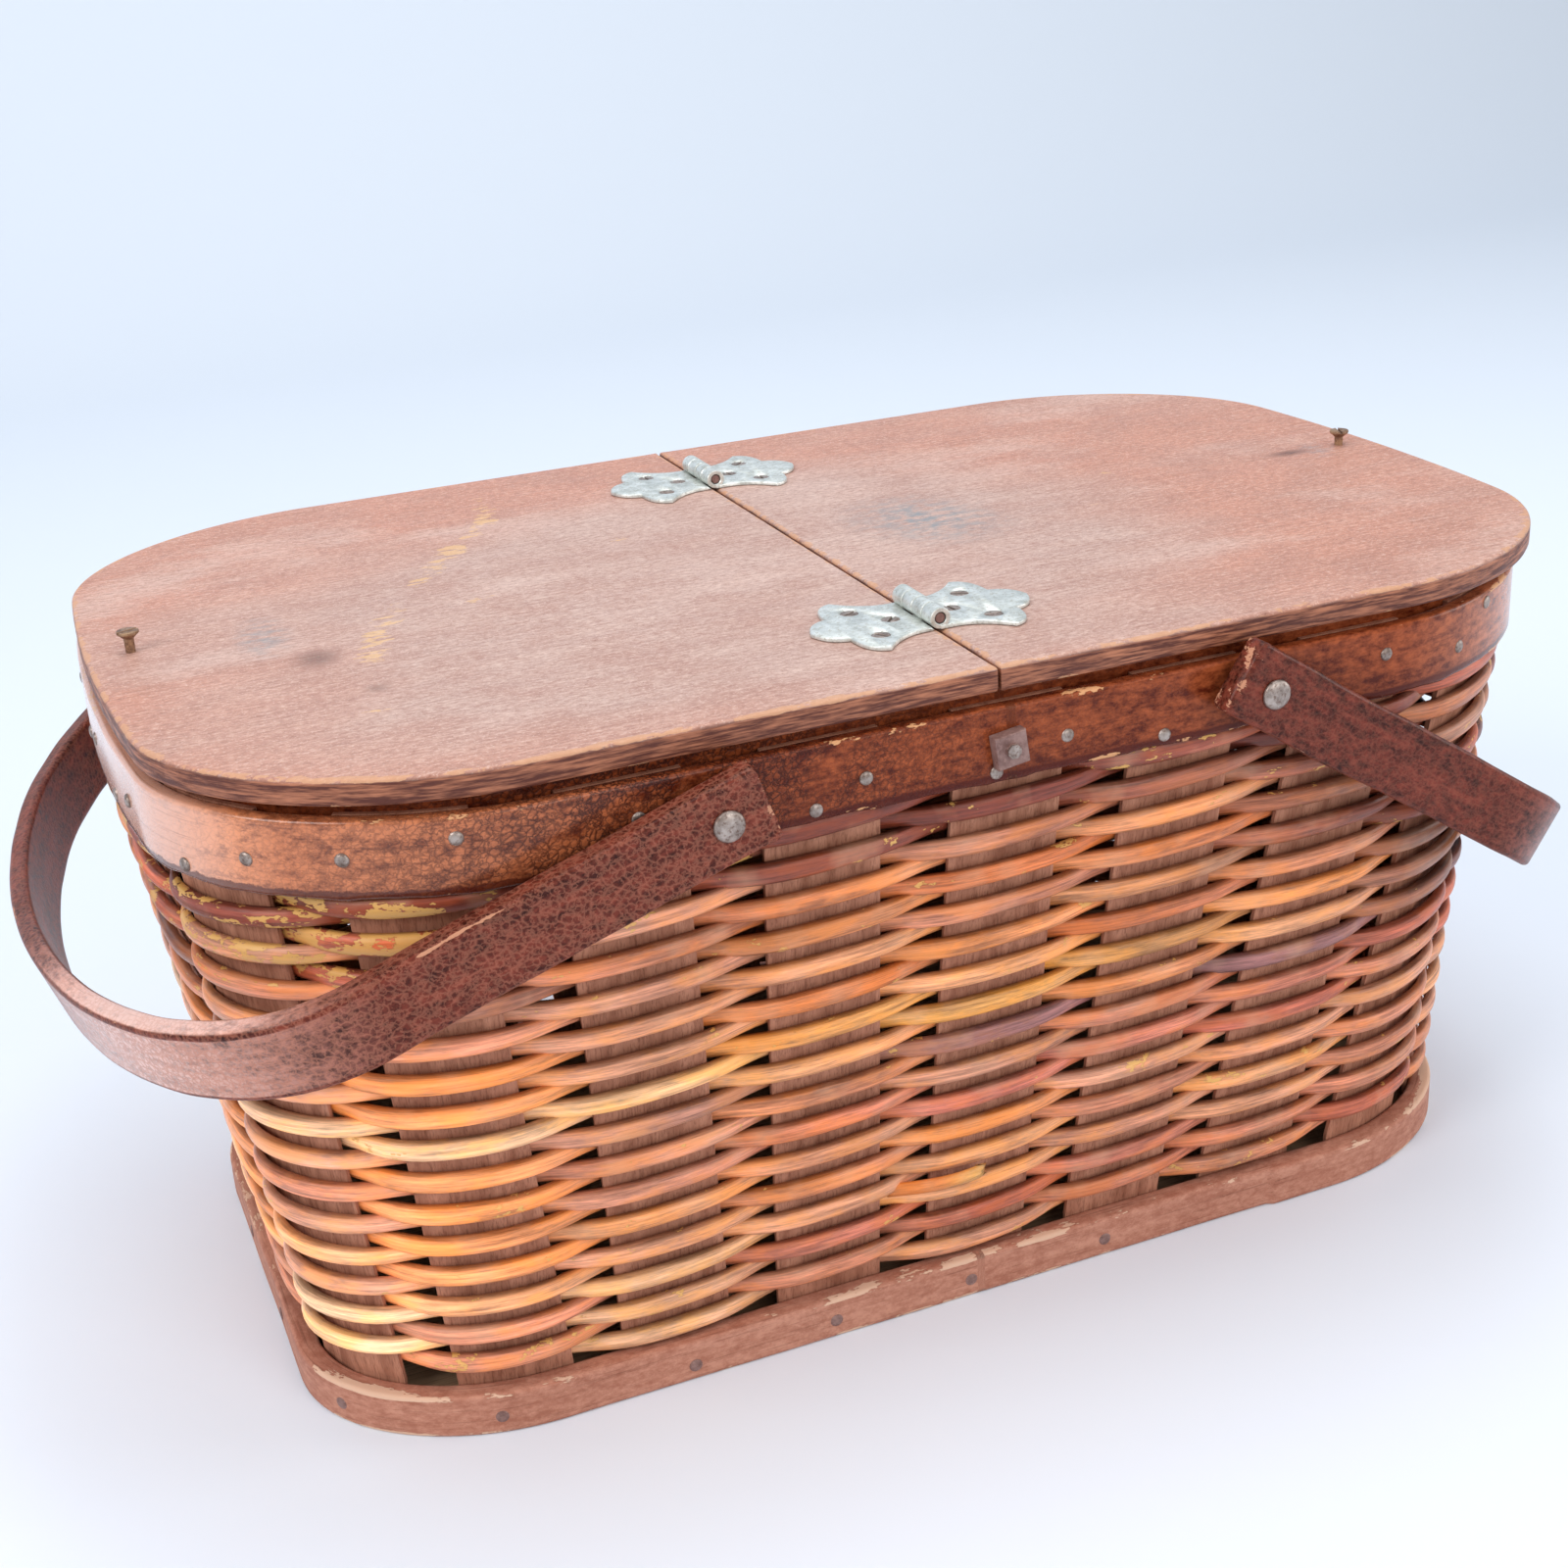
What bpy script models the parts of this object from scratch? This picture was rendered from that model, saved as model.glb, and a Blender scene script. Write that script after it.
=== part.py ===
"""Wicker picnic basket with two hinged half lids and two swing handles.

Metres, +Z up. X runs along the basket, -Y is the front. The origin is the middle of the
flat underside. Flat splint stakes stand round a floor board. Two half round reeds chase
each other up the wall, over one stake and under the next, and bentwood hoops grip the
stakes at the top and the bottom.
"""
import math

import bmesh
import bpy
import numpy as np
from mathutils import Matrix

for old_object in list(bpy.data.objects):
    bpy.data.objects.remove(old_object, do_unlink=True)

mm = 0.001

# Clearances and cuts
seat_gap = 0.3 * mm              # between pieces that touch
cut_overrun = 2 * mm             # how far a cutter passes the face that it cuts

# Outer hoop at the rim, measured on its outer face
hoop_length = 506 * mm
hoop_width = 311 * mm
hoop_corner_length = 100 * mm
hoop_corner_width = 85 * mm
hoop_end_bow = 14 * mm
hoop_thickness = 5.5 * mm
hoop_height = 25 * mm
hoop_underside = 212 * mm
rim_shift = -4 * mm              # the rim leans this far along X from above the foot

# Inner hoop, which carries the lids
inner_hoop_thickness = 5 * mm
inner_hoop_rise = 4.2 * mm       # how far it stands above the outer hoop

# Bottom band, measured on its outer face
wall_end_flare = 20.5 * mm       # the hoop is longer than the band by this at each end
wall_side_flare = 29 * mm        # and wider than it by this at the front and the rear
band_corner_length = 80 * mm
band_corner_width = 62 * mm
band_thickness = 8 * mm
band_height = 16 * mm

# Floor board
floor_thickness = 8 * mm

# Splint stakes
stake_count = 22                 # evenly spaced round the wall
stake_width = 39 * mm
stake_thickness = 1.8 * mm
long_side_stake_count = 7        # stakes on each long side
middle_stake_x = 3.5 * mm        # the front middle stake is this far right of the middle

# Reed weavers: a pair that starts half a turn apart, like a screw with two threads
reed_height = 5.9 * mm
reed_thickness = 3.6 * mm
reed_pitch = 6.48 * mm           # from one row to the next
reed_seat_gap = 0.7 * mm         # from a reed to the stake that it rests on
reed_bulge = 1.2 * mm            # how far a reed bows off the stake that it passes
reed_flat_share = 0.87           # of half a stake's width, where the bulge is full
reed_edge_clearance = 0.8 * mm   # a reed bends this far past the edge of a stake
first_row_lift = 1.2 * mm        # from the band's upper edge to the start of a reed
last_row_drop = 2 * mm           # from the end of a reed to the hoop

# Lids
lid_end_overhang = 1.5 * mm      # longer than the hoop by this at each end
lid_side_inset = 1 * mm          # behind the hoop
lid_corner_length = 95 * mm
lid_corner_width = 78 * mm
lid_end_bow = 14 * mm
lid_thickness = 8.5 * mm
lid_arris = 1.2 * mm
seam_gap = 1.2 * mm              # between the two halves
seam_x = -1.5 * mm               # the lids sit a little to the left

# Crossbar under the seam and the tie rod through it
crossbar_width = 24 * mm
crossbar_depth = 26.5 * mm
tie_rod_radius = 2.4 * mm
rod_height_share = 0.47          # of the hoop's height, from its underside
tie_rod_overhang = 1.5 * mm      # past each nut
nut_width = 11.5 * mm
nut_thickness = 4 * mm

# Hinges
hinge_edge_distance = 54.5 * mm  # from the lid's long edge to the middle of each hinge
leaf_length = 39.3 * mm
leaf_half_width = 24.7 * mm      # at the ears
leaf_thickness = 1.3 * mm
barrel_radius = 3.6 * mm
barrel_length = 29.4 * mm
pin_radius = 1.7 * mm
knuckle_count = 4
knuckle_gap = 0.4 * mm           # between neighbouring knuckles
notch_gap = 0.6 * mm             # round a knuckle, where the other leaf is cut away
leaf_outline_shares = (
    (0.13, 0.592), (0.24, 0.622), (0.34, 0.688), (0.45, 0.815), (0.565, 1.0),
    (0.65, 0.925), (0.72, 0.755), (0.752, 0.57), (0.762, 0.42),
    (0.845, 0.375), (0.925, 0.262), (0.98, 0.115),
)                                # of leaf_length and leaf_half_width, one half
screw_place_shares = ((0.515, 0.5), (0.28, 0.0), (0.515, -0.5))

# Countersunk screws of the hinges
screw_head_radius = 3.1 * mm
screw_shank_radius = 1.5 * mm
screw_length = 7.5 * mm

# Pull screws, left standing proud as finger pulls
pull_inset = 15 * mm             # from the end of the lid
pull_side_step = 6 * mm          # behind the middle line
pull_head_radius = 4.2 * mm
pull_head_depth = 2.6 * mm
pull_shank_radius = 1.8 * mm
pull_stand = 9 * mm              # above the lid
pull_bite = 6 * mm               # into the lid

# Swing handles
handle_end_clearance = 44.5 * mm   # from the hoop's end to the crown, held level
handle_bend_length = 86 * mm
handle_strip_width = 25.5 * mm
handle_arm_thickness = 9 * mm
handle_crown_thickness = 7 * mm
handle_tail = 14 * mm            # of an arm past its pivot
handle_arris = 2 * mm
pivot_pitches = 1.4682           # stake pitches from the middle, between two stakes
left_pivot_height_share = 0.45   # of the hoop's height, from its underside
right_pivot_height_share = 0.63
left_hang_degrees = 18.9
right_hang_degrees = 33.3
rivet_radius = 2.4 * mm
rivet_head_radius = 5 * mm
rivet_head_height = 2.2 * mm
rivet_tail_radius = 4.2 * mm
rivet_tail_height = 1.4 * mm
washer_radius = 7 * mm
washer_thickness = 3.4 * mm
running_gap = 0.5 * mm           # radial, between a rivet and the arm that turns on it

# Counts of faces round turned pieces
round_sides = 8
barrel_sides = 12
bend_segments = 20

# Sizes that follow from those above
band_length = hoop_length - 2 * wall_end_flare
band_width = hoop_width - 2 * wall_side_flare
lid_length = hoop_length + 2 * lid_end_overhang
lid_width = hoop_width - 2 * lid_side_inset
hinge_offset = lid_width / 2 - hinge_edge_distance
stake_inset = hoop_thickness + seat_gap + stake_thickness / 2
hoop_top = hoop_underside + hoop_height
inner_hoop_top = hoop_top + inner_hoop_rise
lid_underside = inner_hoop_top + seat_gap
lid_top = lid_underside + lid_thickness
stake_face = stake_thickness / 2
leaf_underside = lid_top + seat_gap
hinge_height = leaf_underside + barrel_radius
tie_rod_height = hoop_underside + hoop_height * rod_height_share
left_pivot_height = hoop_underside + hoop_height * left_pivot_height_share
right_pivot_height = hoop_underside + hoop_height * right_pivot_height_share
arm_inner_y = hoop_width / 2 + washer_thickness + 2 * seat_gap
handle_half_width = arm_inner_y + handle_arm_thickness


def make_material(name, color, roughness, metallic=0.0):
    material = bpy.data.materials.new(name)
    material.use_nodes = True
    shader = material.node_tree.nodes["Principled BSDF"]
    shader.inputs["Base Color"].default_value = (*color, 1.0)
    shader.inputs["Roughness"].default_value = roughness
    shader.inputs["Metallic"].default_value = metallic
    return material


lid_wood = make_material("faded_lid_wood", (0.34, 0.16, 0.11), 0.55)
hoop_wood = make_material("varnished_hoop_wood", (0.20, 0.055, 0.025), 0.35)
band_wood = make_material("dull_band_wood", (0.27, 0.12, 0.085), 0.6)
handle_wood = make_material("dark_handle_wood", (0.15, 0.045, 0.03), 0.4)
stake_wood = make_material("splint_wood", (0.24, 0.115, 0.07), 0.75)
reed_stain = make_material("stained_reed", (0.45, 0.17, 0.06), 0.45)
inner_wood = make_material("bare_inner_wood", (0.42, 0.26, 0.15), 0.7)
nickel = make_material("dull_nickel", (0.58, 0.58, 0.54), 0.45, 1.0)
steel = make_material("aged_steel", (0.42, 0.40, 0.37), 0.45, 1.0)


def add_object(name, vertices, faces, material):
    """Make an object of closed shells with their faces pointing outwards."""
    mesh = bpy.data.meshes.new(name)
    mesh.from_pydata([tuple(map(float, v)) for v in vertices], [], faces)
    shell = bmesh.new()
    shell.from_mesh(mesh)
    bmesh.ops.recalc_face_normals(shell, faces=shell.faces)
    shell.to_mesh(mesh)
    shell.free()
    mesh.materials.append(material)
    mesh.shade_smooth()
    mesh.set_sharp_from_angle(angle=math.radians(35))
    item = bpy.data.objects.new(name, mesh)
    bpy.context.scene.collection.objects.link(item)
    return item


def join_shells(shells):
    """Put several (vertices, faces) shells into one list of each."""
    vertices = []
    faces = []
    for shell_vertices, shell_faces in shells:
        start = len(vertices)
        vertices.extend(shell_vertices)
        faces.extend([tuple(i + start for i in face) for face in shell_faces])
    return vertices, faces


def ring_of_sections(sections, closed):
    """Skin a list of equal sections, joined end to end or capped at both ends."""
    count = len(sections)
    size = len(sections[0])
    vertices = [point for section in sections for point in section]
    faces = []
    for i in range(count if closed else count - 1):
        j = (i + 1) % count
        for k in range(size):
            m = (k + 1) % size
            faces.append((i * size + k, i * size + m, j * size + m, j * size + k))
    if not closed:
        faces.append(tuple(range(size)))
        faces.append(tuple((count - 1) * size + k for k in range(size)))
    return vertices, faces


def turned_shell(profile, sides, centre=(0, 0, 0), direction="z"):
    """Turn a profile of (radius, height) about an axis; it starts and ends at radius 0."""
    rings = profile[1:-1]
    place = []
    for radius, height in rings:
        for i in range(sides):
            angle = 2 * math.pi * (i + 0.5) / sides
            place.append((radius * math.cos(angle), radius * math.sin(angle), height))
    place.append((0, 0, profile[0][1]))
    place.append((0, 0, profile[-1][1]))
    faces = []
    for row in range(len(rings) - 1):
        for i in range(sides):
            j = (i + 1) % sides
            faces.append((row * sides + i, row * sides + j,
                          (row + 1) * sides + j, (row + 1) * sides + i))
    start = len(rings) * sides
    last = (len(rings) - 1) * sides
    for i in range(sides):
        j = (i + 1) % sides
        faces.append((start, j, i))
        faces.append((start + 1, last + i, last + j))
    if direction == "y":
        place = [(x, z, -y) for x, y, z in place]
    if direction == "-y":
        place = [(x, -z, y) for x, y, z in place]
    vertices = [(x + centre[0], y + centre[1], z + centre[2]) for x, y, z in place]
    return vertices, faces


def rod_profile(radius, low, high):
    return [(0, high), (radius, high), (radius, low), (0, low)]


def tube_shell(outer_radius, inner_radius, low, high, centre, sides):
    """A short tube along Y between two places."""
    sections = []
    for i in range(sides):
        angle = 2 * math.pi * (i + 0.5) / sides
        c, s = math.cos(angle), math.sin(angle)
        section = []
        for radius, y in ((inner_radius, low), (outer_radius, low),
                          (outer_radius, high), (inner_radius, high)):
            section.append((centre[0] + radius * c, centre[1] + y, centre[2] + radius * s))
        sections.append(section)
    return ring_of_sections(sections, True)


def as_cutter(name, shells):
    vertices, faces = join_shells(shells)
    cutter = add_object(name, vertices, faces, steel)
    cutter.hide_render = True
    cutter.display_type = "WIRE"
    return cutter


def apply_boolean(item, tool, operation):
    boolean = item.modifiers.new(tool.name, "BOOLEAN")
    boolean.operation = operation
    boolean.object = tool
    boolean.solver = "EXACT"


# Plan outlines: rounded rectangles with elliptical corners and gently bowed ends

class Outline:
    """A closed plan outline, read by its share of the perimeter from a place in front."""

    def __init__(self, half_length, half_width, corner_length, corner_width, end_bow,
                 shift=0, first_x=0):
        turn = np.linspace(0, math.pi / 2, 97)
        corner = np.stack([half_length - corner_length + corner_length * np.cos(turn),
                           half_width - corner_width + corner_width * np.sin(turn)], axis=1)
        quarter = np.vstack([[half_length, 0], corner, [0, half_width]])
        run = []
        for start, end in zip(quarter[:-1], quarter[1:]):
            steps = 24 if len(run) == 0 else 2
            for step in range(steps):
                run.append(start + (end - start) * step / steps)
        run.append(quarter[-1])
        quarter = np.array(run)
        drawn_in = end_bow * (quarter[:, 1] / half_width) ** 2
        quarter[:, 0] *= 1 - drawn_in / half_length
        right = np.vstack([(quarter * [1, -1])[::-1], quarter[1:]])
        left = (right * [-1, -1])[1:-1]
        self.points = np.vstack([right, left, right[:1]]) + [shift, 0]
        steps = np.hypot(*np.diff(self.points, axis=0).T)
        self.run = np.concatenate([[0], np.cumsum(steps)])
        self.perimeter = self.run[-1]
        self.first_place = first_x - shift

    def at(self, share):
        place = (share * self.perimeter + self.first_place) % self.perimeter
        return np.array([np.interp(place, self.run, self.points[:, 0]),
                         np.interp(place, self.run, self.points[:, 1])])

    def normal(self, share):
        step = 1 / 4096
        along = self.at(share + step) - self.at(share - step)
        return np.array([along[1], -along[0]]) / np.hypot(*along)


def inset_outline(length, width, corner_length, corner_width, end_bow, inset, shift=0,
                  first_x=0):
    return Outline(length / 2 - inset, width / 2 - inset,
                   corner_length - inset, corner_width - inset, end_bow, shift, first_x)


wall_foot = inset_outline(band_length, band_width, band_corner_length, band_corner_width,
                          0, stake_inset - hoop_thickness + band_thickness, 0,
                          middle_stake_x)
wall_head = inset_outline(hoop_length, hoop_width, hoop_corner_length, hoop_corner_width,
                          hoop_end_bow, stake_inset, rim_shift, middle_stake_x)

pivot_spread = pivot_pitches * wall_head.perimeter / stake_count
handle_reach = hoop_length / 2 + handle_end_clearance - pivot_spread
pivot_places = {
    "left": (rim_shift - pivot_spread, 0, left_pivot_height),
    "right": (rim_shift + pivot_spread, 0, right_pivot_height),
}


def wall_blend(height):
    """0 behind the band, 1 behind the hoop, and steady between them."""
    return min(max((height - band_height) / (hoop_underside - band_height), 0), 1)


def wall_perimeter(height):
    blend = wall_blend(height)
    return wall_foot.perimeter * (1 - blend) + wall_head.perimeter * blend


def wall_point(share, height, offset):
    """A point of the wall: offset is measured outwards from the middle of the stakes."""
    blend = wall_blend(height)
    place = wall_foot.at(share) * (1 - blend) + wall_head.at(share) * blend
    outwards = wall_foot.normal(share) * (1 - blend) + wall_head.normal(share) * blend
    outwards /= np.hypot(*outwards)
    place = place + outwards * offset
    return (place[0], place[1], height)


def stake_shares():
    """Where the stakes stand, from the left of the front and counter-clockwise."""
    middle = long_side_stake_count // 2
    return [(k - middle) / stake_count for k in range(stake_count)]


stakes = stake_shares()


def edge_shares(height):
    """The stakes' two edges and middles at one height, in order round the wall."""
    half = stake_width / 2 / wall_perimeter(height)
    return [centre + side * half for centre in stakes for side in (-1, 0, 1)]


def without_straight_points(shares, height):
    """Leave out the places where the outline runs straight on."""
    kept = []
    count = len(shares)
    for i, share in enumerate(shares):
        before = np.array(wall_point(shares[i - 1], height, 0)[:2])
        here = np.array(wall_point(share, height, 0)[:2])
        after = np.array(wall_point(shares[(i + 1) % count], height, 0)[:2])
        first, second = here - before, after - here
        turn = first[0] * second[1] - first[1] * second[0]
        if abs(turn) > 1e-5 * np.hypot(*first) * np.hypot(*second):
            kept.append(share)
    return kept


# Hoops, band and floor

def hoop_object(name, inner_offset, outer_offset, low, high, material):
    """A bentwood hoop that follows the stakes, a rectangle in section."""
    sections = []
    for share in without_straight_points(edge_shares(low), low):
        inner = wall_point(share, low, inner_offset)
        outer = wall_point(share, low, outer_offset)
        sections.append([(*inner[:2], low), (*outer[:2], low),
                         (*outer[:2], high), (*inner[:2], high)])
    vertices, faces = ring_of_sections(sections, True)
    return add_object(name, vertices, faces, material)


outer_hoop = hoop_object("outer_hoop", stake_face + seat_gap,
                         stake_face + seat_gap + hoop_thickness,
                         hoop_underside, hoop_top, hoop_wood)
inner_hoop_face = -stake_face - seat_gap - inner_hoop_thickness
inner_hoop = hoop_object("inner_hoop", inner_hoop_face, -stake_face - seat_gap,
                         hoop_underside, inner_hoop_top, inner_wood)
bottom_band = hoop_object("bottom_band", stake_face + seat_gap,
                          stake_face + seat_gap + band_thickness,
                          0, band_height, band_wood)


def floor_board():
    """A board cut to the inside of the stakes."""
    ring = [wall_point(share, 0, -stake_face - seat_gap)[:2]
            for share in without_straight_points(edge_shares(0), 0)]
    sections = [[(x, y, z) for x, y in ring] for z in (0, floor_thickness)]
    vertices, faces = ring_of_sections(sections, False)
    add_object("floor_board", vertices, faces, inner_wood)


floor_board()


# Stakes: flat splints, upright behind the band and the hoop and leaning between them

def stake_shell(centre):
    levels = (0, band_height, hoop_underside, hoop_top - seat_gap)
    sections = []
    for height in levels:
        half = stake_width / 2 / wall_perimeter(height)
        outer = [wall_point(centre + side * half, height, stake_face) for side in (-1, 0, 1)]
        inner = [wall_point(centre + side * half, height, -stake_face) for side in (1, 0, -1)]
        sections.append(outer + inner)
    return ring_of_sections(sections, False)


def stake_names():
    ends = stake_count // 2 - long_side_stake_count
    sides = (("front", long_side_stake_count), ("right", ends),
             ("rear", long_side_stake_count), ("left", ends))
    return [f"{side}_stake_{k + 1}" for side, count in sides for k in range(count)]


stake_objects = [add_object(name, *stake_shell(centre), stake_wood)
                 for name, centre in zip(stake_names(), stakes)]


# Reed weavers: each climbs two rows a turn, and each is over the stakes that the other
# is under. Both of its ends are tucked behind a stake.

def stake_at(place):
    """A stake's share of the perimeter, counted on past the first turn."""
    return stakes[place % stake_count] + place // stake_count


def reed_shell(first_stake, start_share):
    lead = 2 * reed_pitch
    start_height = band_height + first_row_lift + reed_height / 2
    end_height = hoop_underside - last_row_drop - reed_height / 2
    passes = int((end_height - start_height) / lead * stake_count)
    passes -= 1 - passes % 2
    over_base = stake_face + reed_seat_gap + reed_bulge
    under_base = -stake_face - reed_seat_gap - reed_thickness
    sections = []
    for k in range(passes):
        centre = stake_at(first_stake + k)
        height = start_height + lead * (centre - start_share)
        perimeter = wall_perimeter(height)
        over = k % 2 == 1
        half = reed_flat_share * stake_width / 2 if over else (
            stake_width / 2 + reed_edge_clearance)
        base = over_base if over else under_base
        for side in (-1, 0, 1) if over else (-1, 1):
            share = centre + side * half / perimeter
            z = start_height + lead * (share - start_share)
            flat = wall_point(share, z, base)
            crest = wall_point(share, z, base + reed_thickness)
            sections.append([(flat[0], flat[1], z - reed_height / 2), crest,
                             (flat[0], flat[1], z + reed_height / 2)])
    return ring_of_sections(sections, False)


def reed_weavers():
    half_turn = stake_count // 2
    second_start = half_turn + 1 - half_turn % 2
    add_object("first_weaver", *reed_shell(0, stakes[0]), reed_stain)
    add_object("second_weaver", *reed_shell(second_start, stakes[0] + 0.5), reed_stain)


reed_weavers()


# Crossbar, tie rod and square nuts

inner_face_y = hoop_width / 2 - stake_inset + inner_hoop_face
outer_face_y = hoop_width / 2
rod_hole_radius = tie_rod_radius + seat_gap
nut_seat_y = outer_face_y + seat_gap


def box_shell(low, high):
    x0, y0, z0 = low
    x1, y1, z1 = high
    sections = [[(x0, y0, z), (x1, y0, z), (x1, y1, z), (x0, y1, z)] for z in (z0, z1)]
    return ring_of_sections(sections, False)


def tie_rod_parts():
    half_length = nut_seat_y + nut_thickness + tie_rod_overhang
    rod = turned_shell(rod_profile(tie_rod_radius, -half_length, half_length), round_sides,
                       (0, 0, tie_rod_height), "y")
    add_object("tie_rod", *rod, steel)
    hole = turned_shell(rod_profile(rod_hole_radius, -half_length - cut_overrun,
                                    half_length + cut_overrun), round_sides,
                        (0, 0, tie_rod_height), "y")
    rod_cutter = as_cutter("rod_cutter", [hole])
    bar = box_shell((-crossbar_width / 2, -inner_face_y + seat_gap,
                     inner_hoop_top - crossbar_depth),
                    (crossbar_width / 2, inner_face_y - seat_gap, inner_hoop_top))
    crossbar = add_object("crossbar", *bar, inner_wood)
    middle = long_side_stake_count // 2
    middle_stakes = (stake_objects[middle], stake_objects[middle + stake_count // 2])
    for item in (crossbar, outer_hoop, inner_hoop, *middle_stakes):
        apply_boolean(item, rod_cutter, "DIFFERENCE")
    for name, side in (("front_nut", -1), ("rear_nut", 1)):
        near, far = side * nut_seat_y, side * (nut_seat_y + nut_thickness)
        block = box_shell((-nut_width / 2, min(near, far), tie_rod_height - nut_width / 2),
                          (nut_width / 2, max(near, far), tie_rod_height + nut_width / 2))
        nut = add_object(name, *block, steel)
        apply_boolean(nut, rod_cutter, "DIFFERENCE")


tie_rod_parts()


# Lids

def lid_ring(side, inset):
    """Half of the lid's outline, drawn in by an inset, as (x, y) from the seam's middle."""
    outline = inset_outline(lid_length, lid_width, lid_corner_length, lid_corner_width,
                            lid_end_bow, inset)
    straight_share = (lid_length / 2 - lid_corner_length) / outline.perimeter
    corner_share = 0.25 - straight_share
    corner_steps = 11
    quarter = [straight_share + corner_share * step / corner_steps
               for step in range(corner_steps + 1)]
    shares = quarter + [0.5 - share for share in reversed(quarter[:-1])]
    points = [outline.at(share) for share in shares]
    seam = seam_gap / 2 + inset
    ring = [(seam, -lid_width / 2 + inset)] + [tuple(p) for p in points]
    ring.append((seam, lid_width / 2 - inset))
    return [(seam_x + side * x, y) for x, y in ring]


def lid_board(name, side):
    levels = ((lid_underside, lid_arris), (lid_underside + lid_arris, 0),
              (lid_top - lid_arris, 0), (lid_top, lid_arris))
    sections = [[(x, y, z) for x, y in lid_ring(side, inset)] for z, inset in levels]
    vertices, faces = ring_of_sections(sections, False)
    return add_object(name, vertices, faces, lid_wood)


def screw_places(side):
    places = []
    for y in (-hinge_offset, hinge_offset):
        for along, across in screw_place_shares:
            places.append((seam_x + side * along * leaf_length,
                           y + side * across * leaf_half_width))
    return places


def pull_place(side):
    return (seam_x + side * (lid_length / 2 - pull_inset), pull_side_step)


def drill_lid(lid, side):
    holes = []
    depth = leaf_underside + leaf_thickness - screw_length - seat_gap
    for x, y in screw_places(side):
        profile = rod_profile(screw_shank_radius + seat_gap, depth, lid_top + cut_overrun)
        holes.append(turned_shell(profile, round_sides, (x, y, 0)))
    x, y = pull_place(side)
    profile = rod_profile(pull_shank_radius + seat_gap, lid_top - pull_bite - seat_gap,
                          lid_top + cut_overrun)
    holes.append(turned_shell(profile, round_sides, (x, y, 0)))
    apply_boolean(lid, as_cutter(lid.name + "_drill", holes), "DIFFERENCE")


def pull_screw(name, side):
    x, y = pull_place(side)
    head_top = lid_top + pull_stand
    profile = [(0, head_top), (pull_head_radius, head_top),
               (pull_shank_radius, head_top - pull_head_depth),
               (pull_shank_radius, lid_top - pull_bite), (0, lid_top - pull_bite)]
    add_object(name, *turned_shell(profile, round_sides, (x, y, 0)), steel)


# Hinge leaves: an ornamental plate, two of four knuckles, and a barrel above the wood.
# The mesh is drawn for a right hand leaf about its own pin; a left leaf is turned about.

def knuckle_span(index):
    """The two ends of a knuckle along the barrel, from the near end."""
    length = barrel_length / knuckle_count
    start = -barrel_length / 2 + index * length
    return start + knuckle_gap / 2, start + length - knuckle_gap / 2


def leaf_plate_shell():
    half = [(along * leaf_length, across * leaf_half_width)
            for along, across in leaf_outline_shares]
    root = (0, barrel_length / 2)
    tip = (leaf_length, 0)
    ring = [root] + half + [tip] + [(x, -y) for x, y in reversed(half)] + [(0, -root[1])]
    low, high = -barrel_radius, -barrel_radius + leaf_thickness
    return ring_of_sections([[(x, y, low) for x, y in ring],
                             [(x, y, high) for x, y in ring]], False)


def barrel_piece(radius, low, high, sides=barrel_sides):
    return turned_shell(rod_profile(radius, low, high), sides, (0, 0, 0), "y")


def leaf_tools():
    """Shared shapes that make the leaves: knuckles to fuse, then cuts."""
    own = [barrel_piece(barrel_radius, *knuckle_span(index))
           for index in range(0, knuckle_count, 2)]
    knuckles = as_cutter("leaf_knuckles", own)
    gaps = []
    for index in range(1, knuckle_count, 2):
        low, high = knuckle_span(index)
        if index == knuckle_count - 1:
            high += cut_overrun
        gaps.append(barrel_piece(barrel_radius + notch_gap, low - notch_gap,
                                 high + notch_gap))
    notches = as_cutter("leaf_notches", gaps)
    reach = barrel_length / 2 + cut_overrun
    bore = as_cutter("leaf_bore", [barrel_piece(pin_radius + seat_gap, -reach, reach)])
    top = -barrel_radius + leaf_thickness
    holes = []
    for along, across in screw_place_shares:
        wide = screw_head_radius + 2 * seat_gap + cut_overrun
        narrow = screw_shank_radius + seat_gap
        cone_depth = wide - narrow
        profile = [(0, top + cut_overrun), (wide, top + cut_overrun),
                   (narrow, top + cut_overrun - cone_depth),
                   (narrow, -barrel_radius - cut_overrun),
                   (0, -barrel_radius - cut_overrun)]
        holes.append(turned_shell(profile, round_sides,
                                  (along * leaf_length, across * leaf_half_width, 0)))
    countersinks = as_cutter("leaf_countersinks", holes)
    return (("UNION", knuckles), ("DIFFERENCE", notches), ("DIFFERENCE", bore),
            ("DIFFERENCE", countersinks))


def hinge_leaf(name, side, y, parent):
    leaf = add_object(name, *leaf_plate_shell(), nickel)
    for operation, tool in leaf_tools():
        apply_boolean(leaf, tool, operation)
        place_child(tool, side, y, parent)
    place_child(leaf, side, y, parent)


def place_child(item, side, y, parent):
    item.parent = parent
    item.location = (0, y, 0)
    item.rotation_euler = (0, 0, 0 if side > 0 else math.pi)


def joint_empty(name, place, turn=0):
    empty = bpy.data.objects.new(name, None)
    empty.location = place
    empty.rotation_euler = (0, turn, 0)
    bpy.context.scene.collection.objects.link(empty)
    return empty


def lid_assembly(word, side):
    axis = joint_empty(word + "_lid_axis", (seam_x, 0, hinge_height))
    lid = lid_board(word + "_lid", side)
    drill_lid(lid, side)
    pull_screw(word + "_pull_screw", side)
    for place, y in (("front", -hinge_offset), ("rear", hinge_offset)):
        hinge_leaf(word + "_" + place + "_leaf", side, y, axis)


lid_assembly("left", -1)
lid_assembly("right", 1)

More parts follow.
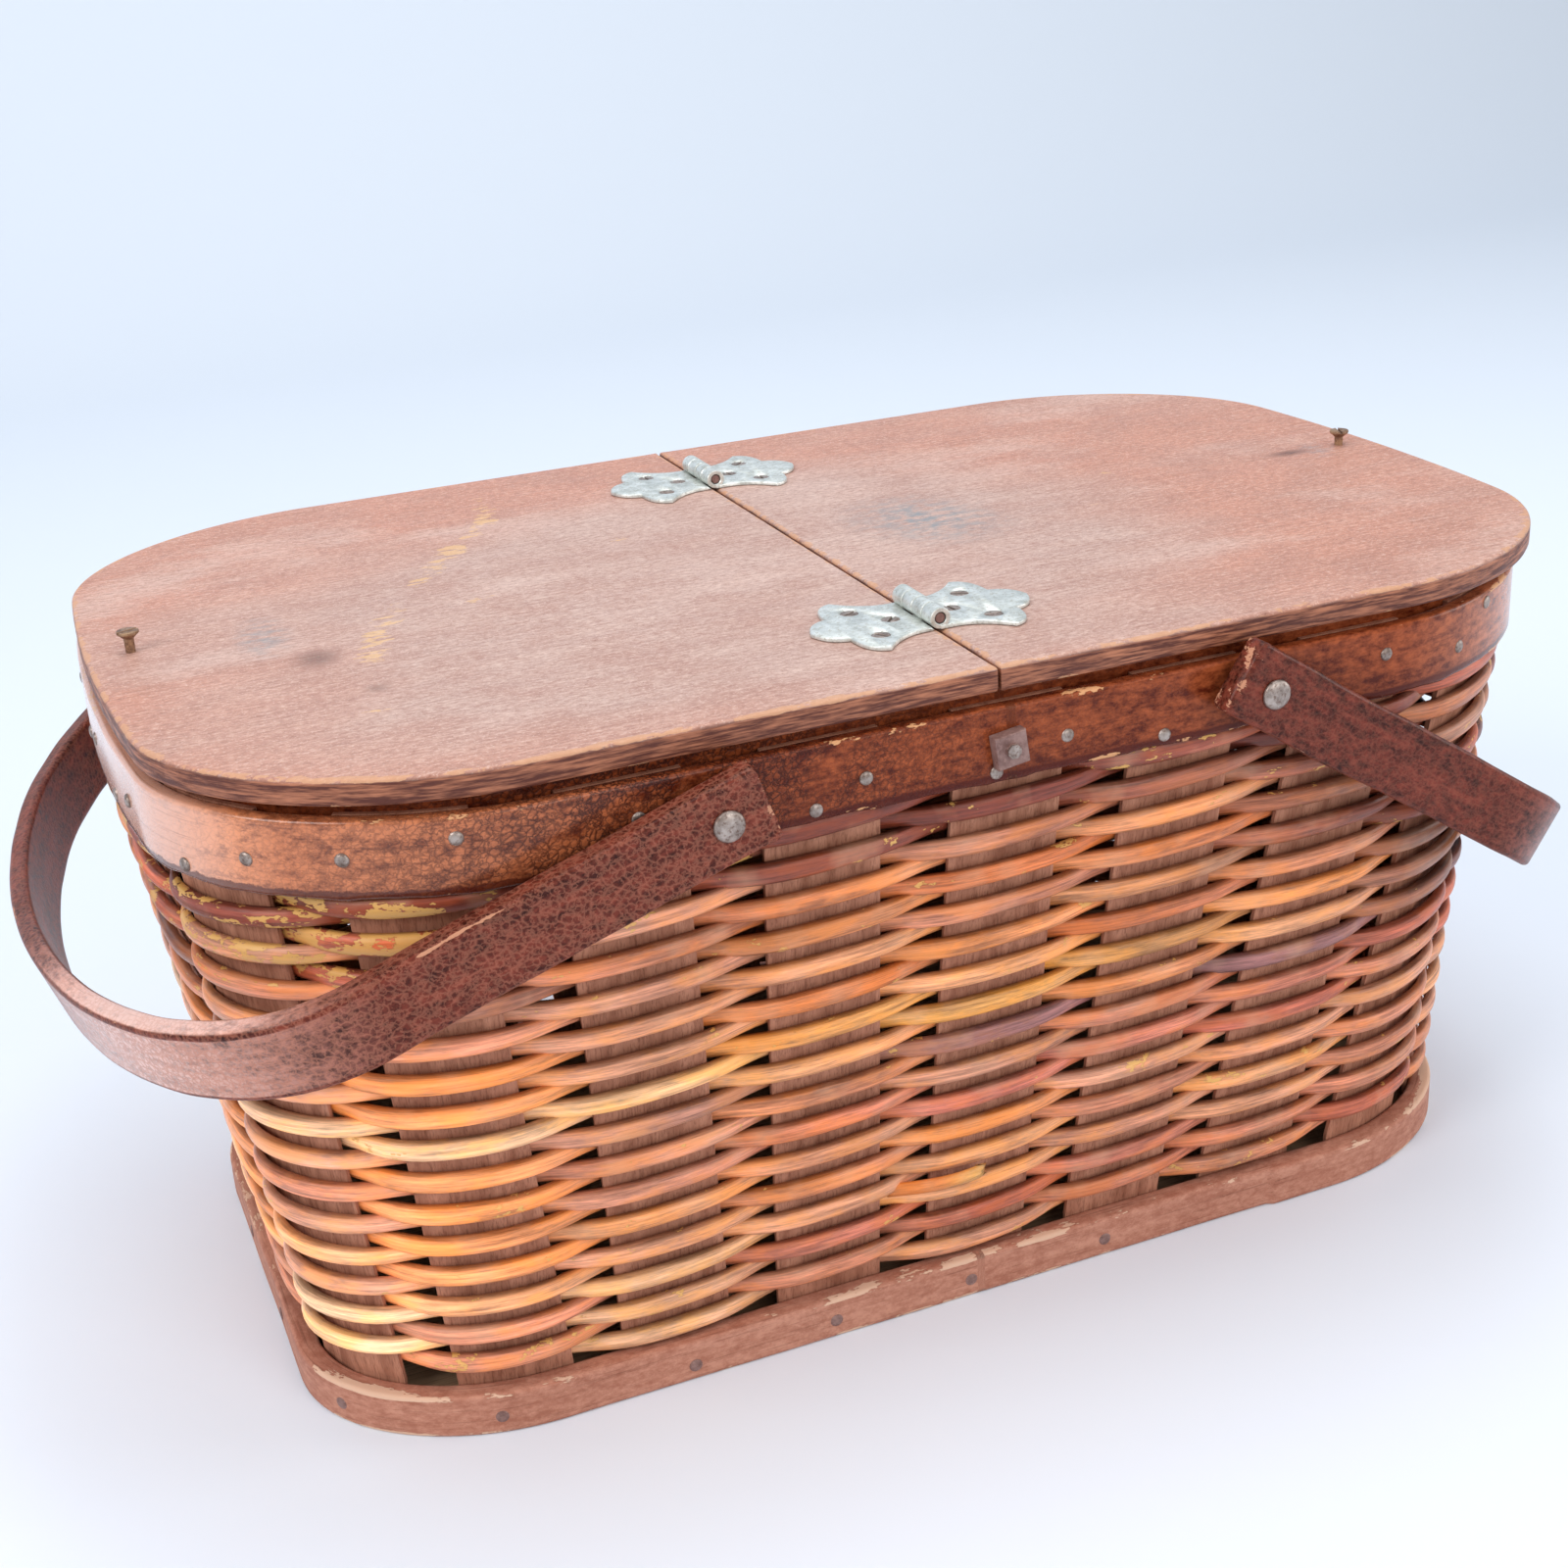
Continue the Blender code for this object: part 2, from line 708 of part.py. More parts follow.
for word, y in (("front", -hinge_offset), ("rear", hinge_offset)):
    pin = turned_shell(rod_profile(pin_radius, -barrel_length / 2 + seat_gap,
                                   barrel_length / 2 - seat_gap), round_sides,
                       (seam_x, y, hinge_height), "y")
    add_object(word + "_hinge_pin", *pin, steel)


# Swing handles: a bent strip, drawn flat about its pivot line and then let down

def handle_sections(side):
    """Sections of the strip from the front arm's tail round to the rear arm's tail."""
    bend_start = handle_reach - handle_bend_length
    stations = [(-handle_tail, -handle_half_width, 0, -1, handle_arm_thickness)]
    for step in range(bend_segments + 1):
        angle = math.pi * (step / bend_segments - 0.5)
        c, s = math.cos(angle), math.sin(angle)
        out = np.array([c * handle_half_width, s * handle_bend_length])
        out /= np.hypot(*out)
        thickness = handle_crown_thickness
        thickness += (handle_arm_thickness - handle_crown_thickness) * abs(s) ** 3
        stations.append((bend_start + handle_bend_length * c, handle_half_width * s,
                         out[0], out[1], thickness))
    stations.append((-handle_tail, handle_half_width, 0, 1, handle_arm_thickness))
    half = handle_strip_width / 2
    flat = half - handle_arris
    sections = []
    for x, y, out_x, out_y, thickness in stations:
        section = []
        for depth, z in ((0, -flat), (0, flat), (handle_arris, half),
                         (thickness - handle_arris, half), (thickness, flat),
                         (thickness, -flat), (thickness - handle_arris, -half),
                         (handle_arris, -half)):
            section.append((side * (x - out_x * depth), y - out_y * depth, z))
        sections.append(section)
    return sections


def swing_handle(word, side, hang_degrees):
    name = word + "_handle"
    vertices, faces = ring_of_sections(handle_sections(side), False)
    handle = add_object(name, vertices, faces, handle_wood)
    handle.location = pivot_places[word]
    handle.rotation_euler = (0, side * math.radians(hang_degrees), 0)
    reach = handle_half_width + cut_overrun
    hole = turned_shell(rod_profile(rivet_radius + running_gap, -reach, reach), round_sides,
                        pivot_places[word], "y")
    apply_boolean(handle, as_cutter(name + "_drill", [hole]), "DIFFERENCE")


swing_handle("left", -1, left_hang_degrees)
swing_handle("right", 1, right_hang_degrees)


# Pivot rivets and the washers that hold the arms off the hoop

def pivot_parts():
    head_seat = handle_half_width + seat_gap
    tail_seat = inner_face_y - seat_gap
    rivet_profile = [(0, head_seat + rivet_head_height),
                     (rivet_head_radius * 0.7, head_seat + rivet_head_height * 0.8),
                     (rivet_head_radius, head_seat), (rivet_radius, head_seat),
                     (rivet_radius, tail_seat), (rivet_tail_radius, tail_seat),
                     (rivet_tail_radius, tail_seat - rivet_tail_height),
                     (0, tail_seat - rivet_tail_height)]
    holes = []
    for word, centre in pivot_places.items():
        for place, direction, face in (("front", "-y", -1), ("rear", "y", 1)):
            low, high = sorted((face * (outer_face_y + seat_gap),
                                face * (arm_inner_y - seat_gap)))
            rivet = turned_shell(rivet_profile, round_sides, centre, direction)
            washer = tube_shell(washer_radius, rivet_radius + seat_gap, low, high,
                                centre, round_sides)
            add_object(f"{word}_{place}_rivet", *rivet, steel)
            add_object(f"{word}_{place}_washer", *washer, steel)
        reach = outer_face_y + cut_overrun
        holes.append(turned_shell(rod_profile(rivet_radius + seat_gap, -reach, reach),
                                  round_sides, centre, "y"))
    pivot_cutter = as_cutter("pivot_cutter", holes)
    apply_boolean(outer_hoop, pivot_cutter, "DIFFERENCE")
    apply_boolean(inner_hoop, pivot_cutter, "DIFFERENCE")


pivot_parts()
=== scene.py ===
import math

import bmesh
import bpy
import numpy as np
from mathutils import Matrix, Vector


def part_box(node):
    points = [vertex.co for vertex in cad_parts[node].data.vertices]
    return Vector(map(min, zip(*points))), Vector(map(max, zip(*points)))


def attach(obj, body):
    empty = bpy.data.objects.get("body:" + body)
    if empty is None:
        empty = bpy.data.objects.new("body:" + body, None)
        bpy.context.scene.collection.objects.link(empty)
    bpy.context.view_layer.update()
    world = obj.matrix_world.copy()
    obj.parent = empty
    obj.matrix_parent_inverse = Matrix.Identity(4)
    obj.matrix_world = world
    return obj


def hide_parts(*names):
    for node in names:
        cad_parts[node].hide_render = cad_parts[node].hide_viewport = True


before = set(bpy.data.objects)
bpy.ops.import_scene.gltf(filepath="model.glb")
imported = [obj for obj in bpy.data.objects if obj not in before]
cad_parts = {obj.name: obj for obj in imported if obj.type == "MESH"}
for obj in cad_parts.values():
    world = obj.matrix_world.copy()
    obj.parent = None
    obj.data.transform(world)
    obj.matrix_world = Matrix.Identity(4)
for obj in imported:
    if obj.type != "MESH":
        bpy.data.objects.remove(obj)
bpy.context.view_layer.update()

mm = 0.001
rng = np.random.default_rng(11)
print("frame loaded")


# Shader helpers

# A colour as seen on a screen, 0 to 255, turned into the linear one that shaders take
def tone(red, green, blue):
    share = np.array([red, green, blue]) / 255
    linear = np.where(share < 0.04045, share / 12.92, ((share + 0.055) / 1.055) ** 2.4)
    return (*map(float, linear), 1.0)


def feed(tree, value, socket):
    if isinstance(value, bpy.types.NodeSocket):
        tree.links.new(value, socket)
    elif socket.type == "RGBA" and not hasattr(value, "__len__"):
        socket.default_value = (value, value, value, 1)
    else:
        socket.default_value = value


def calc(tree, operation, *values, clamp=False):
    node = tree.nodes.new("ShaderNodeMath")
    node.operation = operation
    node.use_clamp = clamp
    for value, socket in zip(values, node.inputs):
        feed(tree, value, socket)
    return node.outputs[0]


def times(tree, first, second, clamp=False):
    return calc(tree, "MULTIPLY", first, second, clamp=clamp)


# A value carried from one range to another, held at both ends
def remap(tree, value, low, high, newLow=0.0, newHigh=1.0):
    node = tree.nodes.new("ShaderNodeMapRange")
    for number, socket in zip((value, low, high, newLow, newHigh), node.inputs):
        feed(tree, number, socket)
    return node.outputs[0]


def mix(tree, share, first, second, mode="MIX"):
    node = tree.nodes.new("ShaderNodeMix")
    node.data_type = "RGBA"
    node.blend_type = mode
    for value, number in ((share, 0), (first, 6), (second, 7)):
        feed(tree, value, node.inputs[number])
    return node.outputs[2]


def multiplied(tree, color, factor):
    return mix(tree, 1.0, color, factor, "MULTIPLY")


def noise(tree, point, scale, detail=3.0, rough=0.55):
    node = tree.nodes.new("ShaderNodeTexNoise")
    feed(tree, point, node.inputs["Vector"])
    feed(tree, scale, node.inputs["Scale"])
    node.inputs["Detail"].default_value = detail
    node.inputs["Roughness"].default_value = rough
    return node.outputs[0]


# A pattern's point with its x and y scaled: below 1 the pattern is drawn out that way
def stretched(tree, point, alongX, alongY=1.0):
    node = tree.nodes.new("ShaderNodeVectorMath")
    node.operation = "MULTIPLY"
    feed(tree, point, node.inputs[0])
    feed(tree, (alongX, alongY, 1), node.inputs[1])
    return node.outputs["Vector"]


def objectPoint(tree):
    return tree.nodes.new("ShaderNodeTexCoord").outputs["Object"]


def attribute(tree, name, output="Fac"):
    node = tree.nodes.new("ShaderNodeAttribute")
    node.attribute_name = name
    return node.outputs[output]


# A shader group: inputs are named with their defaults, and all outputs are plain numbers
def makeGroup(name, inputs, *outputs):
    tree = bpy.data.node_groups.new(name, "ShaderNodeTree")
    for label, value in inputs.items():
        kind = "NodeSocketFloat" if isinstance(value, float) else "NodeSocketVector"
        socket = tree.interface.new_socket(label, in_out="INPUT", socket_type=kind)
        socket.default_value = value
    for label in outputs:
        tree.interface.new_socket(label, in_out="OUTPUT", socket_type="NodeSocketFloat")
    return (tree, tree.nodes.new("NodeGroupInput").outputs,
            tree.nodes.new("NodeGroupOutput").inputs)


def useGroup(tree, group, **values):
    node = tree.nodes.new("ShaderNodeGroup")
    node.node_tree = group
    for label, value in values.items():
        feed(tree, value, node.inputs[label])
    return node.outputs


# Wood grain: x of the point runs along the fibres. Broad streaks are noise stretched 10
# times along them, and fibres are finer noise stretched 40 times.
def grainGroup():
    tree, given, made = makeGroup("woodGrain", {"Point": (0, 0, 0), "Scale": 1.0},
                                  "Streak", "Fibre", "Cloud")
    point, scale = given["Point"], given["Scale"]
    streak = noise(tree, stretched(tree, point, 0.1), times(tree, scale, 60.0), 4.0, 0.6)
    fibre = noise(tree, stretched(tree, point, 0.025), times(tree, scale, 450.0), 3.0, 0.65)
    feed(tree, streak, made["Streak"])
    feed(tree, fibre, made["Fibre"])
    feed(tree, noise(tree, point, times(tree, scale, 14.0)), made["Cloud"])
    return tree


# Crazed varnish: cells of a warped Voronoi pattern; Crack is 1 along their borders, and
# only where a cloudy noise lets the varnish craze.
def crazeGroup():
    tree, given, made = makeGroup(
        "crazedVarnish", {"Point": (0, 0, 0), "Scale": 350.0, "Width": 0.1, "Spread": 0.5},
        "Crack")
    shift = noise(tree, given["Point"], times(tree, given["Scale"], 1.5), 2.0)
    warped = tree.nodes.new("ShaderNodeVectorMath")
    feed(tree, given["Point"], warped.inputs[0])
    feed(tree, times(tree, shift, 0.0035), warped.inputs[1])
    cells = tree.nodes.new("ShaderNodeTexVoronoi")
    cells.feature = "DISTANCE_TO_EDGE"
    feed(tree, warped.outputs["Vector"], cells.inputs["Vector"])
    feed(tree, given["Scale"], cells.inputs["Scale"])
    line = remap(tree, cells.outputs[0], 0.0, given["Width"], 1.0, 0.0)
    there = remap(tree, noise(tree, given["Point"], 45.0),
                  calc(tree, "SUBTRACT", 0.95, given["Spread"]),
                  calc(tree, "SUBTRACT", 1.15, given["Spread"]))
    feed(tree, times(tree, line, there), made["Crack"])
    return tree


# Chips: patches where a coarse and a fine noise together pass a limit, which is lowered
# by Amount. Its border is sharp, as where a film has flaked.
def chipGroup():
    tree, given, made = makeGroup(
        "chippedFilm", {"Point": (0, 0, 0), "Scale": 120.0, "Amount": 0.0}, "Chip")
    coarse = noise(tree, given["Point"], given["Scale"], 4.0, 0.6)
    fine = noise(tree, given["Point"], times(tree, given["Scale"], 6.0), 2.0)
    both = calc(tree, "ADD", times(tree, coarse, 0.8), times(tree, fine, 0.2))
    limit = calc(tree, "SUBTRACT", 0.78, times(tree, given["Amount"], 0.5))
    feed(tree, remap(tree, both, limit, calc(tree, "ADD", limit, 0.015)), made["Chip"])
    return tree


woodGrain, crazedVarnish, chippedFilm = grainGroup(), crazeGroup(), chipGroup()


def chips(tree, point, stretch, scale, amount):
    return useGroup(tree, chippedFilm, Point=stretched(tree, point, stretch), Scale=scale,
                    Amount=amount)["Chip"]


def newMaterial(name):
    material = bpy.data.materials.new(name)
    material.use_nodes = True
    tree = material.node_tree
    return material, tree, tree.nodes["Principled BSDF"]


def dress(tree, shader, color, rough, height=None, depth=0.2 * mm, **constants):
    feed(tree, color, shader.inputs["Base Color"])
    feed(tree, rough, shader.inputs["Roughness"])
    for label, value in constants.items():
        shader.inputs[label.replace("_", " ")].default_value = value
    if height is not None:
        bump = tree.nodes.new("ShaderNodeBump")
        bump.inputs["Strength"].default_value = 1.0
        bump.inputs["Distance"].default_value = depth
        feed(tree, height, bump.inputs["Height"])
        tree.links.new(bump.outputs[0], shader.inputs["Normal"])


lidColors = {
    "streakDark": tone(190, 156, 144), "streakLight": tone(204, 174, 162),
    "redder": tone(202, 134, 108), "patch": tone(174, 126, 110), "veil": tone(222, 194, 182),
    "darkSpeckle": tone(150, 104, 90), "lightSpeckle": tone(226, 198, 184),
    "pore": tone(132, 84, 68), "paintedFibreGlint": tone(232, 208, 196), "paintedSpeckGlint": tone(236, 212, 200),
    "dot": tone(120, 72, 58), "scratch": tone(228, 186, 128), "bloom": tone(138, 142, 146),
    "stain": tone(84, 56, 50), "plyDark": tone(88, 42, 30), "plyLight": tone(176, 112, 82),
    "wornEdge": tone(208, 156, 118),
}


# Faded stained wood of the lids: pinkish brown with a fine speckle and faint streaks
# along X, painted glints on the fibres and in fine specks, redder where fade is low, tan at
# worn edges and scuffs, grey where bloom is high, dark where stain is high, and layered
# like plywood where side is high.
def lidMaterial():
    material, tree, shader = newMaterial("fadedLidWood")
    point = objectPoint(tree)
    fade, scuff, edge, bloom, side, stain = (
        attribute(tree, name) for name in ("fade", "scuff", "edge", "bloom", "side", "stain"))
    grain = useGroup(tree, woodGrain, Point=point, Scale=2.0)
    cloudy = noise(tree, stretched(tree, point, 0.4), 12.0)
    fine = noise(tree, stretched(tree, point, 0.5), 620.0, 5.0, 0.75)
    veil = noise(tree, stretched(tree, point, 0.5), 19.0, 4.0, 0.6)
    smear = noise(tree, stretched(tree, point, 0.5), 260.0, 3.0, 0.7)
    ply = noise(tree, stretched(tree, point, 0.08, 0.08), 800.0, 3.0, 0.7)
    patch = noise(tree, point, 28.0, 5.0, 0.7)
    paintedSpeckGlint = noise(tree, point, 1100.0, 2.0)
    dot = noise(tree, point, 700.0, 2.0)
    redder = remap(tree, calc(tree, "SUBTRACT", cloudy, fade), 0.1, 0.5)
    scratch = chips(tree, point, 0.25, 300.0, times(tree, scuff, 0.66))
    worn = chips(tree, point, 0.4, 160.0, times(tree, edge, 0.75))
    base = mix(tree, remap(tree, grain["Streak"], 0.35, 0.65), lidColors["streakDark"],
               lidColors["streakLight"])
    for mask, color in (
            (times(tree, redder, 0.8), "redder"),
            (times(tree, remap(tree, patch, 0.42, 0.62), 0.5), "patch"),
            (times(tree, remap(tree, veil, 0.52, 0.66), 0.45), "veil"),
            (remap(tree, fine, 0.36, 0.54, 0.6, 0.0), "darkSpeckle"),
            (remap(tree, fine, 0.54, 0.68, 0.0, 0.6), "lightSpeckle"),
            (times(tree, remap(tree, grain["Fibre"], 0.46, 0.34), 0.25), "pore"),
            # painted highlights: glints on the fibres and in fine specks
            (times(tree, remap(tree, grain["Fibre"], 0.54, 0.66), 0.15), "paintedFibreGlint"),
            (times(tree, remap(tree, paintedSpeckGlint, 0.56, 0.70), 0.4), "paintedSpeckGlint"),
            (times(tree, remap(tree, dot, 0.34, 0.26), 0.5), "dot"),
            (times(tree, scratch, 0.6), "scratch"),
            (times(tree, bloom, times(tree, remap(tree, smear, 0.40, 0.62), 0.95)), "bloom"),
            (times(tree, stain, remap(tree, fine, 0.4, 0.6, 0.5, 0.95)), "stain")):
        base = mix(tree, mask, base, lidColors[color])
    base = mix(tree, side, base, mix(tree, remap(tree, ply, 0.42, 0.66), lidColors["plyDark"],
                                     lidColors["plyLight"]))
    base = mix(tree, times(tree, worn, 0.7), base, lidColors["wornEdge"])
    rough = remap(tree, grain["Streak"], 0.3, 0.7, 0.42, 0.56)
    height = calc(tree, "ADD", times(tree, grain["Fibre"], 0.15), times(tree, fine, 0.85))
    dress(tree, shader, base, rough, height, 0.3 * mm, Specular_IOR_Level=0.35)
    return material


# Finishes: each has a third, lighter colour for the painted sheen where its film shines
hoopFinish = {
    "dark": tone(84, 28, 12), "light": tone(164, 82, 46), "paintedSheenTone": tone(226, 144, 98),
    "crack": tone(52, 16, 10), "chip": tone(222, 164, 116), "crackShare": 0.95,
    "spread": 0.7, "edgeShare": 0.45, "rough": 0.26, "coat": 1.0,
}
handleFinish = {
    "dark": tone(48, 14, 8), "light": tone(122, 54, 40), "paintedSheenTone": tone(232, 178, 160),
    "crack": tone(190, 122, 98), "chip": tone(200, 142, 112), "crackShare": 0.75,
    "spread": 0.76, "edgeShare": 0.45, "rough": 0.34, "coat": 0.8,
}
bandFinish = {
    "dark": tone(164, 106, 86), "light": tone(196, 140, 118), "paintedSheenTone": tone(216, 170, 148),
    "crack": tone(130, 80, 64), "chip": tone(222, 184, 158), "crackShare": 0.3,
    "spread": 0.5, "edgeShare": 0.62, "rough": 0.55, "coat": 0.0,
}


# Brown varnish: fibres along the strip under a mottled film whose cracks and flaked edges
# show the wood. It is torn and dark where low is high, and crazed where old is high. Where
# the film shines its coat is glossier and a painted sheen lightens its colour, turning to a
# pale painted reflection where the shine passes 1.
def varnishMaterial(name, finish):
    material, tree, shader = newMaterial(name)
    point = attribute(tree, "grain", "Vector")
    edge, low, gloss, old = (attribute(tree, part) for part in ("edge", "low", "gloss", "old"))
    grain = useGroup(tree, woodGrain, Point=point, Scale=2.6)
    craze = useGroup(tree, crazedVarnish, Point=point, Scale=430.0, Width=0.2,
                     Spread=finish["spread"])
    # painted sheen: where the film shines, its light colour turns to the lighter sheen colour
    # and spreads over it
    lightWithPaintedSheen = mix(tree, times(tree, gloss, 0.9, clamp=True), finish["light"], finish["paintedSheenTone"])
    mottle = noise(tree, stretched(tree, point, 0.6), 330.0, 5.0, 0.75)
    bands = calc(tree, "ADD", times(tree, grain["Streak"], 0.35), times(tree, mottle, 0.65))
    film = calc(tree, "ADD", remap(tree, bands, 0.4, 0.6), times(tree, gloss, 0.4), clamp=True)
    base = mix(tree, film, finish["dark"], lightWithPaintedSheen)
    # painted reflection: a pale whitening where the shine passes 1
    paintedReflection = times(tree, calc(tree, "SUBTRACT", gloss, 1.0, clamp=True), 0.7)
    base = mix(tree, paintedReflection, base, tone(226, 196, 186))
    base = mix(tree, remap(tree, grain["Fibre"], 0.42, 0.32, 0.0, 0.5), base,
               multiplied(tree, base, (0.42, 0.36, 0.34, 1)))
    crazed = times(tree, times(tree, craze["Crack"], old), finish["crackShare"])
    base = mix(tree, crazed, base, finish["crack"])
    torn = remap(tree, calc(tree, "ADD", low, times(tree, mottle, 0.9)), 0.9, 1.0)
    base = mix(tree, times(tree, torn, 0.85), base, tone(72, 18, 10))
    worn = chips(tree, point, 0.35, 190.0, times(tree, edge, finish["edgeShare"]))
    base = mix(tree, times(tree, worn, 0.85), base, finish["chip"])
    rough = calc(tree, "ADD", finish["rough"],
                 times(tree, calc(tree, "MAXIMUM", worn, crazed), 0.3))
    height = calc(tree, "SUBTRACT", times(tree, mottle, 0.6), times(tree, crazed, 0.8))
    height = calc(tree, "SUBTRACT", height, times(tree, worn, 0.8))
    dress(tree, shader, base, rough, height, 0.22 * mm, Coat_Roughness=0.16,
          Specular_IOR_Level=0.12)
    coat = times(tree, calc(tree, "ADD", gloss, 0.12), finish["coat"], clamp=True)
    feed(tree, coat, shader.inputs["Coat Weight"])
    return material


# Stained reed: the dye of its length, with painted light at the left corner, streaked along
# the fibres and gilded in patches, with painted shade at the edges of the half round and a
# painted highlight on its crest, and with flakes of ochre where chip is high.
def reedMaterial():
    material, tree, shader = newMaterial("stainedReed")
    point, dye = attribute(tree, "grain", "Vector"), attribute(tree, "dye", "Color")
    chip, side = attribute(tree, "chip"), attribute(tree, "side")
    grain = useGroup(tree, woodGrain, Point=point, Scale=3.6)
    base = multiplied(tree, dye, remap(tree, grain["Streak"], 0.34, 0.66, 0.72, 1.32))
    groove = noise(tree, stretched(tree, point, 0.05), 850.0, 4.0, 0.75)
    base = multiplied(tree, base, remap(tree, groove, 0.38, 0.64, 0.62, 1.3))
    gold = remap(tree, noise(tree, stretched(tree, point, 0.3), 130.0, 4.0, 0.65), 0.46, 0.6)
    base = mix(tree, times(tree, gold, 0.65), base,
               multiplied(tree, dye, (1.38, 1.2, 0.62, 1)))
    base = mix(tree, remap(tree, grain["Fibre"], 0.48, 0.32, 0.0, 0.5), base,
               multiplied(tree, base, (0.52, 0.42, 0.4, 1)))
    # painted shade at the edges of the half round, and a painted highlight on its crest
    base = multiplied(tree, base, remap(tree, side, 0.0, 0.9, 1.16, 0.55))
    pale = remap(tree, grain["Cloud"], 0.5, 0.75, 0.0, 0.4)
    base = mix(tree, pale, base, tone(222, 172, 138))
    flake = chips(tree, point, 0.45, 210.0, chip)
    base = mix(tree, times(tree, flake, 0.8), base, tone(232, 180, 100))
    rough = remap(tree, grain["Streak"], 0.3, 0.7, 0.3, 0.46)
    height = calc(tree, "SUBTRACT", times(tree, groove, 0.8), times(tree, flake, 0.6))
    dress(tree, shader, base, rough, height, 0.3 * mm, Specular_IOR_Level=0.4)
    return material


# Bare splints and inner wood: matte, with upright or level grain by the axis order.
def bareMaterial(name, dark, light, order):
    material, tree, shader = newMaterial(name)
    split = tree.nodes.new("ShaderNodeSeparateXYZ")
    swapped = tree.nodes.new("ShaderNodeCombineXYZ")
    feed(tree, objectPoint(tree), split.inputs[0])
    for axis, socket in zip(order, swapped.inputs):
        feed(tree, split.outputs[axis], socket)
    grain = useGroup(tree, woodGrain, Point=swapped.outputs[0], Scale=3.4)
    base = mix(tree, remap(tree, grain["Streak"], 0.3, 0.7), dark, light)
    base = mix(tree, remap(tree, grain["Fibre"], 0.5, 0.34, 0.0, 0.6), base,
               multiplied(tree, base, (0.45, 0.38, 0.36, 1)))
    dress(tree, shader, base, 0.8, grain["Fibre"], 0.2 * mm, Specular_IOR_Level=0.2)
    return material


# Worn metal: mottled by cloudy noise, with dull spots of tarnish or rust.
def metalMaterial(name, dark, light, spot, spotShare, roughness, metallic):
    material, tree, shader = newMaterial(name)
    point = objectPoint(tree)
    cloud = noise(tree, point, 260.0, 4.0, 0.65)
    base = mix(tree, remap(tree, cloud, 0.35, 0.65), dark, light)
    tarnish = remap(tree, noise(tree, point, 900.0, 3.0, 0.6), 0.54, 0.66)
    base = mix(tree, times(tree, tarnish, spotShare), base, spot)
    rough = calc(tree, "ADD", roughness, times(tree, tarnish, 0.25))
    dress(tree, shader, base, rough, cloud, 0.1 * mm, Metallic=metallic)
    return material


# Plain stage: one pale colour
def stageMaterial():
    material, tree, shader = newMaterial("paleStage")
    dress(tree, shader, tone(228, 236, 247), 0.85)
    return material


lidWood, stainedReed = lidMaterial(), reedMaterial()
hoopVarnish = varnishMaterial("hoopVarnish", hoopFinish)
handleVarnish = varnishMaterial("handleVarnish", handleFinish)
bandWood = varnishMaterial("dullBandWood", bandFinish)
splintWood = bareMaterial("splintWood", tone(152, 98, 76), tone(196, 138, 112), (2, 0, 1))
innerWood = bareMaterial("innerWood", tone(150, 116, 88), tone(192, 158, 126), (0, 1, 2))
nickel = metalMaterial("dullNickel", tone(196, 200, 194), tone(232, 236, 232),
                       tone(150, 140, 122), spotShare=0.4, roughness=0.42, metallic=0.75)
agedSteel = metalMaterial("agedSteel", tone(118, 102, 94), tone(178, 164, 156),
                          tone(96, 62, 48), spotShare=0.55, roughness=0.4, metallic=0.75)
darkSteel = metalMaterial("paintedSteel", tone(112, 80, 74), tone(150, 118, 110),
                          tone(178, 145, 140), spotShare=0.4, roughness=0.5, metallic=0.35)
rustySteel = metalMaterial("rustySteel", tone(120, 92, 76), tone(176, 142, 110),
                           tone(92, 52, 36), spotShare=0.55, roughness=0.45, metallic=0.6)
print("materials made")


# Mesh helpers

# A mesh object; each attribute holds one value, vector or colour for each point
def meshPiece(name, points, faces, material, sharp=None, **attributes):
    mesh = bpy.data.meshes.new(name)
    mesh.from_pydata(np.asarray(points, float).tolist(), [], faces)
    shell = bmesh.new()
    shell.from_mesh(mesh)
    bmesh.ops.recalc_face_normals(shell, faces=shell.faces)
    shell.to_mesh(mesh)
    shell.free()
    for label, values in attributes.items():
        flat = np.asarray(values, np.float32).reshape(len(points), -1)
        kind, key = {1: ("FLOAT", "value"), 3: ("FLOAT_VECTOR", "vector"),
                     4: ("FLOAT_COLOR", "color")}[flat.shape[1]]
        layer = mesh.attributes.new(label, kind, "POINT")
        layer.data.foreach_set(key, flat.ravel())
    mesh.materials.append(material)
    mesh.shade_smooth()
    if sharp is not None:
        mesh.set_sharp_from_angle(angle=math.radians(sharp))
    piece = bpy.data.objects.new(name, mesh)
    bpy.context.scene.collection.objects.link(piece)
    return piece


# The body of a finished piece, and the nodes that it stands for, which are hidden; the slot
# name is not used
def settle(piece, slotName, body, *nodes):
    if nodes:
        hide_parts(*nodes)
    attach(piece, body)


# The index grid of rings of equal size, and the quads between each ring and the next
def ringQuads(count, size, closed=False):
    index = np.arange(count * size).reshape(count, size)
    if closed:
        index = np.vstack([index, index[:1]])
    around = np.roll(index, -1, axis=1)
    quads = np.stack([index[:-1], around[:-1], around[1:], index[1:]], axis=-1)
    return index, quads.reshape(-1, 4).tolist()


# A skin over rings of equal size, capped at both ends or closed on itself
def loft(name, rings, material, closed=False, sharp=None, **attributes):
    index, faces = ringQuads(*rings.shape[:2], closed)
    if not closed:
        faces += [index[0][::-1].tolist(), index[-1].tolist()]
    return meshPiece(name, rings.reshape(-1, 3), faces, material, sharp, **attributes)


# Several parts, each points and faces, as one
def together(parts):
    points, faces, start = [], [], 0
    for partPoints, partFaces in parts:
        points.append(np.asarray(partPoints, float))
        faces += [[i + start for i in face] for face in partFaces]
        start += len(partPoints)
    return np.vstack(points), faces


